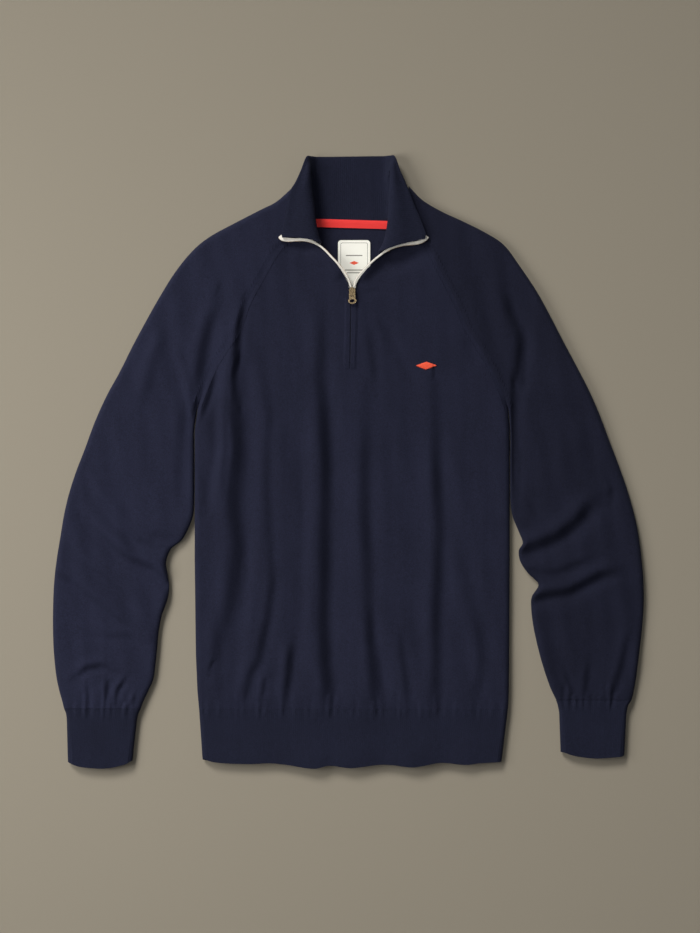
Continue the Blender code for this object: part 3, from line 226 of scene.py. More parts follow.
# Folds of the sleeves alone: they end at the sides of the body.
SLEEVE_FOLDS = (
    ("underarm_right", -4.6, 0, 9, 0.9, 0.3,
     ((216, 100), (213, 60), (213, 20), (214, -20), (214, -62))),
    ("underarm_right_wide", -2.2, 0, 24, 0.9, 0.4, ((230, 110), (228, 60), (228, 10), (228, -40))),
    ("underarm_left", -3, 0, 9, 0.2, 0.4, ((-206, 74), (-210, 30), (-211, -20), (-212, -60))),
    ("shoulder_left", 3.2, 0, 10, 0.1, 0.2, ((-236, 176), (-252, 136), (-259, 105), (-266, 72))),
    ("underarm_crest", 2.6, 1, 5, 0.2, 0.7,
     ((-231, 157), (-219, 144), (-209, 122), (-203, 95), (-198, 64))),
    ("elbow_left_a", 0, 2.6, 8, 0.3, 0.3,
     ((-248, -104), (-270, -98), (-288, -78), (-305, -60), (-322, -42), (-332, -14))),
    ("notch_left", -2.4, 0, 7, 0.2, 0.8, ((-252, -92), (-222, -101))),
    ("elbow_left_b", 0, 3.4, 9.5, 0.9, 0.3,
     ((-232, -148), (-250, -133), (-275, -123), (-290, -114), (-305, -100), (-320, -85), (-334, -71))),
    ("elbow_left_c", 0, 1.9, 7, 0.2, 0.3,
     ((-253, -194), (-270, -181), (-286, -165), (-305, -150), (-320, -138), (-338, -122), (-346, -110))),
    ("elbow_left_d", 0, 2.7, 9, 0.3, 0.8,
     ((-262, -222), (-280, -207), (-300, -192), (-315, -180), (-335, -165), (-352, -150), (-370, -142))),
    ("elbow_left_e", 0, 1, 7, 0.3, 0.2, ((-257, -226), (-280, -219), (-305, -220), (-336, -212))),
    ("forearm_left", 0, 2, 6.5, 0.3, 0.3, ((-302, -263), (-315, -257), (-333, -260), (-348, -271))),
    ("cuff_left_a", 0, 1.4, 4.5, 0.2, 1, ((-334, -280), (-333, -313))),
    ("cuff_left_b", 0, 2, 4.5, 0.2, 1, ((-308, -274), (-309, -313))),
    ("cuff_left_c", 0, 2, 4.5, 0.2, 1, ((-283, -272), (-294, -288), (-300, -313))),
    ("cuff_left_d", 0, 1.6, 4.5, 0.2, 1, ((-272, -296), (-281, -313))),
    ("elbow_right_a", 0, 4, 13, 0.2, 1,
     ((321, -43), (303, -57), (285, -78), (262, -95), (240, -104), (220, -110))),
    ("elbow_right_b", 0, 1.2, 8, 0.2, 0.7, ((313, -119), (285, -130), (262, -139), (238, -136))),
    ("elbow_right_c", 0, 3.4, 10, 0.1, 1,
     ((352, -135), (320, -142), (300, -152), (280, -163), (255, -167), (231, -172))),
    ("elbow_right_d", -1.5, 0, 4.5, 0.6, 0.2, ((214, -27), (226, -42), (236, -57), (243, -74))),
    ("elbow_right_e", -1.2, 0, 4.5, 0.6, 0.2, ((207, -72), (230, -97))),
    ("elbow_right_f", 0, 0.9, 6, 0.2, 0.2, ((321, -8), (332, -34), (331, -60))),
    ("sleeve_right_crest", 1.4, 0, 17, 0.2, 0.3, ((306, 52), (284, 24), (270, 0))),
    ("forearm_right", 0, 1.7, 8, 0.1, 0.9,
     ((354, -208), (350, -235), (345, -260), (338, -281), (333, -298))),
    ("cuff_right_a", 0, 1, 6, 0.2, 0.9, ((304, -252), (301, -276), (298, -296))),
    ("cuff_right_b", 0, 1, 5, 0.2, 0.9, ((272, -264), (279, -280), (286, -296))),
)
# A fold reaches this many half widths to each side, and tapers over this share of its course.
FOLD_REACH = 2.8
FOLD_TAPER = 0.3
# The peak of x * exp(-x * x), which a one-sided fall follows.
FALL_PEAK = 0.4289
# Sleeve folds fade in between these x, just beyond each side of the body.
BODY_EDGE_LEFT = (-196.0, -201.0)
BODY_EDGE_RIGHT = (203.0, 209.0)

HEM_EDGE = (
    # x, y of the front edge, lift of the edge
    (-190, -374, 0),
    (-170, -381, 0.6),
    (-128, -383, 1.2),
    (-100, -382, 0.8),
    (-77, -384.4, 1.4),
    (-45, -388.8, 3.4),
    (-24, -385, 2),
    (3, -388, 3),
    (37, -384, 1.2),
    (56, -384.5, 1.4),
    (83, -387, 3.2),
    (117, -381.5, 0.8),
    (147, -384, 2.2),
    (168, -382, 0.8),
    (205, -380, 0.4),
)
# The sides of each band: share of the way down, left x, right x.
HEM_SIDES = ((0.0, -190.8, 202.2), (1.0, -186.4, 194.0))
HEM_BACK_Y = -379.0
CUFF_BACK_Y_LEFT = -380.0
CUFF_BACK_Y_RIGHT = -369.0
# Over this share of the way down, a band comes from its seam's height to its own.
BAND_EASE = 0.3
CUFF_LEFT_EDGE = (
    (-358, -381, 0.8), (-340, -387, 0.8), (-310, -388.8, 0.8), (-286, -384, 0.8), (-276, -379, 0.8))
CUFF_RIGHT_EDGE = (
    (269, -367, 0.8), (288, -373, 0.8), (313, -376, 0.8), (332, -375, 0.8), (350, -373.5, 0.8))
CUFF_SIDES_LEFT = (
    (0, -362.6, -264.8), (0.08, -360, -267.6), (0.2, -359, -269.6), (1, -357.6, -275.4))
CUFF_SIDES_RIGHT = (
    (0, 263.4, 359.6), (0.1, 265.6, 355), (0.24, 267.4, 353), (1, 269.2, 350.2))
RIGHT_CUFF_SEAM_Y = -302.0

COLLAR_LEFT = (
    # seam_x, seam_y, roll_x, roll_y, edge_x, edge_y, bow, stand, lift
    (-33.6, 273.6, -35.8, 278.4, -84.8, 284.8, 2.4, 1, 0),
    (-42, 279.5, -38.5, 283, -85.2, 290.5, 1.4, 1, 0),
    (-51, 286, -40, 289.5, -84.2, 298.5, 0.4, 1, 0),
    (-58, 291, -42, 298, -82.5, 305, 0, 1, 0),
    (-63, 298, -43.5, 309, -80.5, 315, 0, 1, 0.4),
    (-66, 307, -45, 324, -78.3, 328, 0, 1, 1.6),
    (-66, 320, -47, 340, -75.5, 342, 0, 1, 3.4),
    (-63, 329, -48.3, 354, -67.5, 355.5, 0, 0.97, 4.6),
    (-57.5, 331, -49, 365, -61, 370, 0, 0.9, 4.4),
    (-52.5, 325, -48.8, 372, -54.2, 387.5, 0, 0.7, 2),
    (-47, 317, -45.6, 362, -48, 389.2, 0, 0.35, 0),
    (-39, 309, -39, 354, -40, 389.2, 0, 0, 0),
    (-20, 306, -20, 350, -20, 389.2, 0, 0, 0),
)
COLLAR_RIGHT = (
    (37.3, 263.3, 38.4, 266.6, 96.4, 283.2, 1.8, 1, 0.6),
    (47, 271.4, 42.5, 273.5, 97.2, 289.8, 0.8, 1, 0.6),
    (58, 279.5, 46.3, 283, 95.2, 296, 0, 1, 0.4),
    (66.5, 287.3, 48.8, 296.5, 93.2, 301.5, 0, 1, 0.2),
    (73.2, 296, 50.3, 308, 89.4, 311.5, 0, 1, 0),
    (75, 307, 51.5, 324, 83.4, 325, 0, 1, 0),
    (74.6, 320, 52, 340, 76.4, 344, 0, 1, 0),
    (71, 330, 52.8, 355, 69.6, 359.5, 0, 0.97, 0),
    (66.5, 332, 53.2, 366, 64.4, 371.5, 0, 0.9, 0),
    (60.5, 326, 52.8, 373, 58.4, 388.3, 0, 0.7, 0),
    (54.5, 317.5, 50.5, 361, 52, 390, 0, 0.35, 0),
    (46, 307.2, 44.5, 354, 44, 390, 0, 0, 0),
    (25, 305.2, 25, 350, 25, 389.8, 0, 0, 0),
)
COLLAR_MIDDLE = (3, 304.6, 3, 350, 3, 389.5, 0.0, 0.0, 0.0)
# The back neck edge follows the seam of the collar.
BACK_NECK = [row[:2] for row in COLLAR_LEFT[9:] + (COLLAR_MIDDLE,) + COLLAR_RIGHT[:8:-1]]
COLLAR_SECTION = (
    # share seam to roll, share roll to edge, height when it stands up
    (0, 0, 12.9),
    (0.45, 0, 13.6),
    (0.85, 0, 15.6),
    (1, 0, 18.8),
    (1, 0.12, 22),
    (1, 0.35, 22.4),
    (1, 0.7, 19.6),
    (1, 1, 18.4),
)

ZIP_EDGE_LEFT = (
    # x, y, z of the middle of the binding from the collar point to the slider, width
    (-87.6, 287.2, 14.4, 5),
    (-85, 284.3, 14.8, 5.6),
    (-81, 282.9, 15.1, 5.2),
    (-76, 282.5, 15.4, 5),
    (-69, 282.4, 16.2, 4.1),
    (-62, 282.4, 17.2, 3.8),
    (-57, 282.2, 17.8, 3.7),
    (-52.3, 281.6, 18.3, 4),
    (-48, 280.4, 17.9, 3.8),
    (-44, 278.7, 17.2, 3.4),
    (-40, 276.5, 16.7, 2.9),
    (-36, 273.9, 16.8, 2.5),
    (-30, 268.6, 17.2, 2.4),
    (-22.7, 261, 17.4, 2.4),
    (-15.5, 253.4, 17.3, 2.4),
    (-9.3, 245.7, 16.7, 2.4),
    (-4, 238.1, 15.9, 2.4),
    (-0.5, 231.6, 15.1, 2.4),
    (1.2, 226.8, 14.4, 2.4),
    (2.2, 222.4, 13.8, 2.4),
)
ZIP_EDGE_RIGHT = (
    (99.3, 286.6, 15.4, 4.6),
    (97.2, 284, 15.7, 5),
    (93.5, 281.4, 16, 4.8),
    (88, 279.1, 16.4, 4.7),
    (82, 278, 16.9, 4.3),
    (76, 277.3, 17.5, 4),
    (70, 276.6, 18.1, 3.9),
    (64, 275.4, 18.5, 3.7),
    (58, 273.6, 18.7, 3.6),
    (52, 271.1, 18.7, 3.5),
    (48, 268.8, 18.2, 3.4),
    (44, 266.2, 17.5, 3.1),
    (40, 263, 17.2, 2.7),
    (32.4, 257, 17.9, 2.4),
    (24.2, 249.5, 17.4, 2.4),
    (16.9, 241.9, 16.4, 2.4),
    (10.6, 234.4, 15.4, 2.4),
    (8, 229, 14.6, 2.4),
    (7.1, 225.2, 14.1, 2.4),
    (6.4, 222.4, 13.8, 2.4),
)
ZIP_BAND_THICK = 2.2
WELTS = (
    # y, then the x of the left and right side of the left welt and of the right one
    (210.3, -5.6, 2.4, 3, 11.8),
    (203, -5.7, 2.3, 2.9, 11.6),
    (195, -5.9, 2.2, 2.8, 11.4),
    (184, -6.2, 2.1, 2.7, 11.1),
    (155, -7, 1.7, 2.3, 10.1),
    (119, -8.5, 1, 1.6, 9),
)
WELT_HIGH = 0.95
WELT_GAP = 0.1
# How high a welt stands at its thin edges.
WELT_EDGE = 0.12
NECK_TAPE = (
    # y at the left end, y at the right end, z of its underside
    (310.2, 307.2, 3.6),
    (306.8, 303.8, 3.6),
    (303.4, 300.4, 3),
    (299.8, 297, 2.4),
)
NECK_TAPE_X = (-46.0, 53.0)
TAPE_THICK = 0.8
TAPE_WAVE_HIGH = 0.22
TAPE_WAVES = 9.0
LABEL_X = (-14.0, 27.0)
LABEL_Y = (222.0, 283.0)
LABEL_Z = 2.3
LABEL_THICK = 0.8
PRINT_LOW = LABEL_Z + 0.6
PRINT_HIGH = LABEL_Z + 0.86
MARK_HIGH = LABEL_Z + 0.9
LABEL_CORNER = 4.0
LABEL_MIDDLE = (LABEL_X[0] + LABEL_X[1]) / 2
BORDER_X = (LABEL_X[0] + 3.2, LABEL_X[1] - 3.2)
BORDER_Y = (LABEL_Y[0] + 3.0, LABEL_Y[1] - 3.2)
BORDER_CORNER = 2.4
BORDER_WIDTH = 0.5
# y and half length of each bar; y, half width and half height of the mark
LABEL_BARS = ((263.5, 10.5), (245.0, 12.0), (241.5, 9.0))
BAR_HALF_TALL = 0.6
LABEL_MARK = (254.0, 6.0, 2.4)
MOTIF_CENTRE = (98.0, 123.0)
MOTIF_HALF = (12.5, 4.6)
MOTIF_PITCH = 0.62
FLOOR_Z = -0.3
FLOOR_HALF = 3000.0

# ---------------- visible detail
RIB_PITCH = 2.6
WALE_CELLS = 4
RIB_HIGH = 0.17
RIB_AT_SEAM = 0.55
COLLAR_RIB_HIGH = 0.42
# The collar's ribs are sunk by this much, and its underside is plain below this height.
RIB_SINK = 0.15
RIBS_FROM_Z = 3.0
# Past this share of its height the collar loses this share of its thickness.
COLLAR_THIN_FROM = 0.965
COLLAR_THINNED = 0.55
ROW_CELLS = 6
SEAM_DIP = 0.28
BAND_SEAM_DIP = 0.16
SEAM_DIP_HALF = 2.2
SEAM_ROLL = 0.08
SEAM_ROLL_AT = 5.5
SEAM_ROLL_HALF = 2.6
BAND_SEAM_DIP_HALF = 1.3
# Rims that turn by more than this stay crisp.
SHARP_ANGLE = 60
STITCH_WALE = 1.5
STITCH_COURSE = 1.15
# Half width and half thickness of each small stitch or tooth, and where they stand.
THREAD_HALF = (0.36, 0.3)
MARK_HALF = (0.5, 0.26)
MARK_HALF_LENGTH = 2.3
MARK_OFFSET = 5.2
MARK_PITCH = 5.2
TOOTH_HALF = (0.45, 0.40)
TOOTH_PITCH = 1.6
TOOTH_FROM = 1.5
TOOTH_CLEAR = 2.0
# Within this distance in x the teeth change sides, and they stand up on the way.
TOOTH_FLIP = 7.0
TOOTH_RISE = 0.9
TOOTH_SINK = 0.25
METAL_BEVEL = 0.22


# ---------------- numbers
def smooth(low, high, value):
    share = np.clip((value - low) / (high - low), 0.0, 1.0)
    return share * share * (3.0 - 2.0 * share)


def mix(first, second, share):
    return first * (1 - share) + second * share


def unit(vectors):
    """The same directions at length one."""
    return vectors / np.linalg.norm(vectors, axis=-1, keepdims=True)


def walked(points):
    """Length from a line's first point to each of its points."""
    return np.concatenate([[0], np.cumsum(np.linalg.norm(np.diff(points, axis=0), axis=1))])


def spline(rows, cells):
    """Catmull-Rom through table rows, cells steps between each pair."""
    points = np.asarray(rows, dtype=float)
    ends = np.concatenate([2 * points[:1] - points[1:2], points, 2 * points[-1:] - points[-2:-1]])
    out = []
    for a, b, c, d in zip(ends, ends[1:], ends[2:], ends[3:]):
        for step in range(cells):
            t = step / cells
            out.append(0.5 * ((2 * b) + (c - a) * t + (2 * a - 5 * b + 4 * c - d) * t * t
                              + (3 * b - a - 3 * c + d) * t ** 3))
    out.append(points[-1])
    return np.array(out)


def table_at(rows, at, column):
    """One column of a table, read at places along its first column."""
    rows = np.asarray(rows, dtype=float)
    order = np.argsort(rows[:, 0])
    return np.interp(at, rows[order, 0], rows[order, column])


def rows_at(places, at, rows):
    """Rows of numbers read at new places; at says where the given rows stand."""
    return np.stack([np.interp(places, at, column) for column in rows.T], axis=-1)


def course_share(x, y, course):
    """Distance of each point from a polyline, plus on its left side, and its share of the way along."""
    course = np.asarray(course, dtype=float)
    places = walked(course)
    best = np.full(x.shape, 1e9)
    side, share_at = np.ones(x.shape), np.zeros(x.shape)
    for (ax, ay), (bx, by), start, end in zip(course, course[1:], places, places[1:]):
        share = ((x - ax) * (bx - ax) + (y - ay) * (by - ay)) / (end - start) ** 2
        share = np.clip(share, 0.0, 1.0)
        gap = np.hypot(x - (ax + (bx - ax) * share), y - (ay + (by - ay) * share))
        closer = gap < best
        side = np.where(closer, np.sign((bx - ax) * (y - ay) - (by - ay) * (x - ax)), side)
        share_at = np.where(closer, mix(start, end, share) / places[-1], share_at)
        best = np.where(closer, gap, best)
    return best * side, share_at


def fold_sum(x, y, folds):
    """Heights of soft dips, crests and one-sided falls laid along their courses."""
    height = np.zeros(x.shape)
    for _, dip, fall, half_width, start, end, course in folds:
        reach = FOLD_REACH * half_width
        low_x, low_y = np.min(course, axis=0) - reach
        high_x, high_y = np.max(course, axis=0) + reach
        near = (x > low_x) & (x < high_x) & (y > low_y) & (y < high_y)
        if near.any():
            gap, share = course_share(x[near], y[near], course)
            away = gap / half_width
            taper = (mix(start, 1, smooth(0, FOLD_TAPER, share))
                     * mix(end, 1, smooth(0, FOLD_TAPER, 1 - share)))
            height[near] += (dip - fall / FALL_PEAK * away) * taper * np.exp(-away ** 2)
    return height


def puckers(seed, x_range, seam_y, count, depth, length):
    """Short soft creases that a band's seam gathers into the cloth above it."""
    dice = random.Random(seed)
    folds = []
    span = (x_range[1] - x_range[0]) / count
    for index in range(count):
        x = x_range[0] + span * (index + 0.5 + dice.uniform(-0.32, 0.32))
        long = length * dice.uniform(0.5, 1.5)
        lean = dice.uniform(-3.0, 3.0)
        deep = -depth * dice.uniform(0.5, 1.3)
        folds.append(("pucker", 0.0, deep, dice.uniform(2.6, 4.4), 0.0, 1.0,
                      ((x + lean, seam_y + long), (x, seam_y - 2.0))))
    return folds


PUCKERS = (
    puckers(3, (-186, 200), SEAM_Y, 26, 0.55, 16)
    + puckers(4, (-352, -272), SEAM_Y, 8, 0.8, 18)
    + puckers(5, (270, 340), RIGHT_CUFF_SEAM_Y, 8, 0.8, 18)
)


def wander(x, y):
    """A faint unevenness of hand-laid knit, longer along the wales than across."""
    dice = random.Random(SEED)
    height = np.zeros(np.shape(x))
    for _ in range(WANDER_WAVES):
        across = dice.uniform(22, 60)
        along = dice.uniform(70, 190)
        phase = dice.uniform(0, 2 * math.pi)
        lean = dice.uniform(-0.15, 0.15)
        height += WANDER_HIGH * np.sin(2 * math.pi * ((x + lean * y) / across + y / along) + phase)
    return height


def laid_height(y):
    """How high the cloth's front lies before its folds."""
    lie = LOW_HEIGHT + (LAID_HEIGHT - LOW_HEIGHT) * smooth(*LOW_BLEND, y)
    seam_height = BAND_HEIGHT + SEAM_STEP
    return seam_height + (lie - seam_height) * smooth(SEAM_Y, SEAM_Y + SEAM_BLEND, y)


def relief(x, y):
    """Height of the folds at each place: sleeve folds end at the sides of the body."""
    near_seam = SEAM_RELIEF + (1 - SEAM_RELIEF) * smooth(SEAM_Y, SEAM_Y + SEAM_BLEND, y)
    beyond_body = np.maximum(smooth(*BODY_EDGE_LEFT, x), smooth(*BODY_EDGE_RIGHT, x))
    height = fold_sum(x, y, FOLDS) + fold_sum(x, y, SLEEVE_FOLDS) * beyond_body
    lowest = np.maximum(-MAX_RELIEF, LEAST_HEIGHT - laid_height(y))
    main = np.clip(height, lowest, MAX_RELIEF) * near_seam
    return main + fold_sum(x, y, PUCKERS) + wander(x, y) * near_seam


def front_z(x, y):
    return laid_height(y) + relief(x, y)


# ---------------- meshes
UP = np.array((0.0, 0.0, 1.0))
DOWN = -UP


def new_object(name, points, faces, material, uv=None, smooth_shaded=True):
    """A mesh object from points in millimetres; uv gives one cloth place per point, in metres."""
    mesh = bpy.data.meshes.new(name)
    points = (np.reshape(points, (-1, 3)) - BOX_MIDDLE) * MM
    mesh.from_pydata(points.tolist(), [], [list(map(int, face)) for face in faces])
    if uv is not None:
        corners = np.empty(len(mesh.loops), dtype=np.int32)
        mesh.loops.foreach_get("vertex_index", corners)
        uv = np.reshape(uv, (-1, 2))[corners].astype(np.float32)
        mesh.uv_layers.new(name="cloth").data.foreach_set("uv", uv.ravel())
    if smooth_shaded:
        mesh.polygons.foreach_set("use_smooth", [True] * len(mesh.polygons))
        mesh.set_sharp_from_angle(angle=math.radians(SHARP_ANGLE))
    mesh.materials.append(material)
    mesh.update()
    return add_to_scene(name, mesh)


def add_to_scene(name, data):
    made = bpy.data.objects.new(name, data)
    bpy.context.scene.collection.objects.link(made)
    return made


def numbered(points):
    """A number for each point of a grid, row by row."""
    return np.arange(points.shape[0] * points.shape[1]).reshape(points.shape[:2])


def looped(ids):
    """A grid of point numbers whose last column meets its first."""
    return np.hstack([ids, ids[:, :1]])


def quads(ids):
    corners = (ids[:-1, :-1], ids[:-1, 1:], ids[1:, 1:], ids[1:, :-1])
    return np.stack(corners, axis=-1).reshape(-1, 4)


def places_on_cloth(across, along):
    return np.stack(np.broadcast_arrays(across, along), axis=-1) * MM


def shell(name, outer, inner, grids, material, uv, extra_cells=()):
    """Two layers over grids of point numbers, closed by a rim round every open edge."""
    outer, inner, uv = np.reshape(outer, (-1, 3)), np.reshape(inner, (-1, 3)), np.reshape(uv, (-1, 2))
    faces = [face for ids in grids for face in quads(ids).tolist()] + list(extra_cells)
    edges = dict.fromkeys((a, b) for face in faces for a, b in zip(face, face[1:] + face[:1]) if a != b)
    count = len(outer)
    inside = [[i + count for i in face[::-1]] for face in faces]
    rims = [[b, a, a + count, b + count] for a, b in edges if (b, a) not in edges]
    clean = []
    for face in faces + inside + rims:
        ring = [i for n, i in enumerate(face) if i != face[n - 1]]
        if len(ring) > 2:
            clean.append(ring)
    return new_object(name, np.vstack([outer, inner]), clean, material, np.vstack([uv, uv]))


# Cloth points are rows of x, y, z, the three parts of the way the outside faces, and a share of the folds.
def turned(side, inward, height, angles, turn):
    """The round edge of a laid piece; an angle of 90 is on top, -90 underneath."""
    angles = np.radians(angles)
    half = height / 2.0
    across, rise = np.cos(angles), np.sin(angles)
    plan = np.asarray(side) + np.outer(turn * (1 - across), inward)
    facing = unit(np.column_stack([-np.outer(across / turn, inward), rise / half]))
    return np.column_stack([plan, half * (1 + rise), facing, np.clip(rise, 0, None)])


def flat(plan, z, facing):
    """Level cloth at one height or at a height for each point; only cloth that faces up takes the folds."""
    rows = np.empty((len(plan), 7))
    rows[:, :2], rows[:, 2], rows[:, 3:6], rows[:, 6] = plan, z, facing, facing[2] > 0
    return rows


def layers(rows):
    """The outer and inner points of a knitted piece, with its folds and its seams' grooves."""
    rows = np.array(rows)
    x, y, z, share = (rows[..., column] for column in (0, 1, 2, 6))
    z = z + relief(x, y) * share + seam_groove(x, y) * share
    outer = np.stack([x, y, z], axis=-1)
    return outer, outer - unit(rows[..., 3:6]) * KNIT_WALL


# ---------------- seams
def raglan_line(table):
    return spline([row[2:] for row in table[:UNDERARM_ROW + 1]], ROW_CELLS)


RAGLANS = {"left": raglan_line(SLEEVE_LEFT), "right": raglan_line(SLEEVE_RIGHT)}


def bell(gap, half_width):
    return np.exp(-((gap / half_width) ** 2))


def seam_groove(x, y):
    """A dip along both raglan seams and the seams of the bands, with a soft roll beside it."""
    height = np.zeros(x.shape)
    for line in RAGLANS.values():
        gap = np.abs(course_share(x, y, line[::3])[0])
        height -= SEAM_DIP * bell(gap, SEAM_DIP_HALF)
        height += SEAM_ROLL * bell(gap - SEAM_ROLL_AT, SEAM_ROLL_HALF)
    beyond_body = x > BODY_EDGE_RIGHT[1]
    # A band's groove comes and goes along its seam.
    fading = 0.55 + 0.45 * np.sin(x * 0.21 + 0.8 * np.sin(x * 0.057))
    for seam_y, there in ((SEAM_Y, ~beyond_body), (RIGHT_CUFF_SEAM_Y, beyond_body)):
        height -= BAND_SEAM_DIP * fading * bell(y - seam_y, BAND_SEAM_DIP_HALF) * there
    return height


def closed_share(place):
    """0 on rows that are open at the raglan seam, 1 on rows that are closed tubes below the underarm."""
    return float(smooth(UNDERARM_ROW - 0.75, UNDERARM_ROW + 1.0, place))


def above_underarm(place):
    """1 at the neck, 0 at the underarm and below."""
    return 1.0 - min(1.0, place / UNDERARM_ROW)


def edge_steps(first, last, count):
    """A column of even steps that stops short of the last."""
    return (first + (last - first) * np.arange(count) / count)[:, None]


# ---------------- sleeves
SLEEVE_EDGE = np.linspace(0, 90, 9)[:-1]
SLEEVE_OUTER = np.linspace(90, -90, 19)[1:-1]


def sleeve(name, table, back_shift, material, flip=False, front_cells=46, back_cells=14):
    """A raglan sleeve in rows from the neck to the cuff: edge, front, outer edge, back, edge again."""
    outer_line = spline([row[:2] for row in table], ROW_CELLS)
    below = spline([row[2:] for row in table[UNDERARM_ROW:]], ROW_CELLS)[1:]
    inner_line = np.vstack([raglan_line(table), below])
    edge_cells = len(SLEEVE_EDGE)
    rows = []
    for index, (outer_side, inner_side) in enumerate(zip(outer_line, inner_line)):
        place = index / ROW_CELLS
        closed = closed_share(place)
        inward = unit(outer_side - inner_side)
        if place <= UNDERARM_ROW:
            inner_side = inner_side + inward * SEAM_GAP / 2
        width = np.linalg.norm(outer_side - inner_side)
        turn = min(EDGE_TURN, MOST_TURN * width)
        height = float(laid_height((outer_side[1] + inner_side[1]) / 2))
        edge = inner_side + inward * edge_steps(0, turn, edge_cells)
        front = inner_side + inward * np.linspace(turn, width - turn, front_cells + 1)[:, None]
        start = outer_side - inward * turn
        back_end = inner_side + np.array(back_shift) * above_underarm(place)
        open_end = back_end + unit(start - back_end) * turn
        end = mix(open_end, inner_side + inward * turn, closed)
        back_edge = mix(back_end, open_end, edge_steps(0, 1, edge_cells)[::-1])
        rows.append(np.vstack([
            mix(flat(edge, laid_height(edge[:, 1]), UP),
                turned(inner_side, inward, height, SLEEVE_EDGE, turn), closed),
            flat(front, height, UP),
            turned(outer_side, -inward, height, SLEEVE_OUTER, turn),
            flat(mix(start, end, np.linspace(0, 1, back_cells + 1)[:, None]), 0.0, DOWN),
            mix(flat(back_edge, 0.0, DOWN),
                turned(inner_side, inward, height, -SLEEVE_EDGE[::-1], turn), closed),
        ]))
    outer, inner = layers(rows)
    ids = numbered(outer)
    closed_from = (UNDERARM_ROW + 1) * ROW_CELLS
    for grid in (outer, inner, ids):
        grid[closed_from:, -1] = grid[closed_from:, 0]
    middle = edge_cells + front_cells // 2
    across = np.linalg.norm(np.diff(outer, axis=1, prepend=outer[:, :1]), axis=2).cumsum(axis=1)
    across -= across[:, middle:middle + 1]
    uv = places_on_cloth(across, -walked(outer[:, middle])[:, None])
    return shell(name, outer, inner, [ids[:, ::-1] if flip else ids], material, uv)


# ---------------- body panels
def body_rows():
    """Left end, right end and place of every row of the body, from the neck to the hem's seam."""
    left_line, right_line = RAGLANS["left"], RAGLANS["right"]
    rows = [(*ends, index / ROW_CELLS) for index, ends in enumerate(zip(left_line, right_line))]
    ys = np.concatenate([np.linspace(UNDERARM_Y, LEVEL_Y, 2 * ROW_CELLS + 1)[1:],
                         np.linspace(LEVEL_Y, SEAM_Y + SEAM_GAP / 2, 17 * ROW_CELLS)[1:]])
    for y in ys:
        slanted = 1 - smooth(UNDERARM_Y, LEVEL_Y, y)
        ends = [np.array((table_at(BODY_SIDES, y, column), y + (line[-1][1] - UNDERARM_Y) * slanted))
                for column, line in ((1, left_line), (2, right_line))]
        rows.append((*ends, UNDERARM_ROW + (UNDERARM_Y - y) / BODY_ROW_STEP))
    return rows


BODY_ROWS = body_rows()
FRONT_SIDE = np.linspace(-38, 90, 14)[:-1]
BACK_SIDE = np.linspace(-42, -90, 6)[:-1]


def half_front(side, target, place, bow, cells):
    """One row of the front from its seam to the opening; bow bends it down between."""
    span = target - side
    width = np.linalg.norm(span)
    inward = span / width
    turn = min(EDGE_TURN, MOST_TURN * width)
    edge = side + inward * edge_steps(SEAM_GAP / 2, turn, len(FRONT_SIDE))
    laid = turned(side, inward, float(laid_height(side[1])), FRONT_SIDE, turn)
    shares = np.linspace(0, 1, cells + 1)[:, None]
    downward = np.array((inward[1], -inward[0])) * np.sign(inward[0])
    plan = side + inward * (turn + (width - turn) * shares) + downward * (bow * 4 * shares * (1 - shares))
    return np.vstack([mix(flat(edge, laid_height(edge[:, 1]), UP), laid, closed_share(place)),
                      flat(plan, laid_height(plan[:, 1]), UP)])


def front_panel(material, cells=78):
    """Two halves with the slit between them, joined cell to cell below it."""
    opening = spline(OPENING_EDGE, ROW_CELLS)
    slit_index = SLIT_ROW * ROW_CELLS
    halves = ([], [])
    for index, (left, right, place) in enumerate(BODY_ROWS):
        if index <= slit_index:
            left_x, left_y, right_x, right_y, bow = opening[index]
        else:
            left_x, _, right_x, _, bow = OPENING_EDGE[-1]
            share = ((left_x + right_x) / 2 - left[0]) / (right[0] - left[0])
            left_y = right_y = left[1] + (right[1] - left[1]) * share
        halves[0].append(half_front(left, np.array((left_x, left_y)), place, bow, cells))
        halves[1].append(half_front(right, np.array((right_x, right_y)), place, bow, cells))
    outer, inner = layers(halves)
    left_ids = numbered(outer[0])
    right_ids = left_ids[:, ::-1] + left_ids.size
    left_end, right_end = left_ids[slit_index:, -1].tolist(), right_ids[slit_index:, 0].tolist()
    bridge = [[lower_left, lower_right, right, left] for left, right, lower_left, lower_right
              in zip(left_end, right_end, left_end[1:], right_end[1:])]
    grids = [left_ids[::-1], right_ids[::-1]]
    return shell("front_knit", outer, inner, grids, material, outer[..., :2] * MM, bridge)


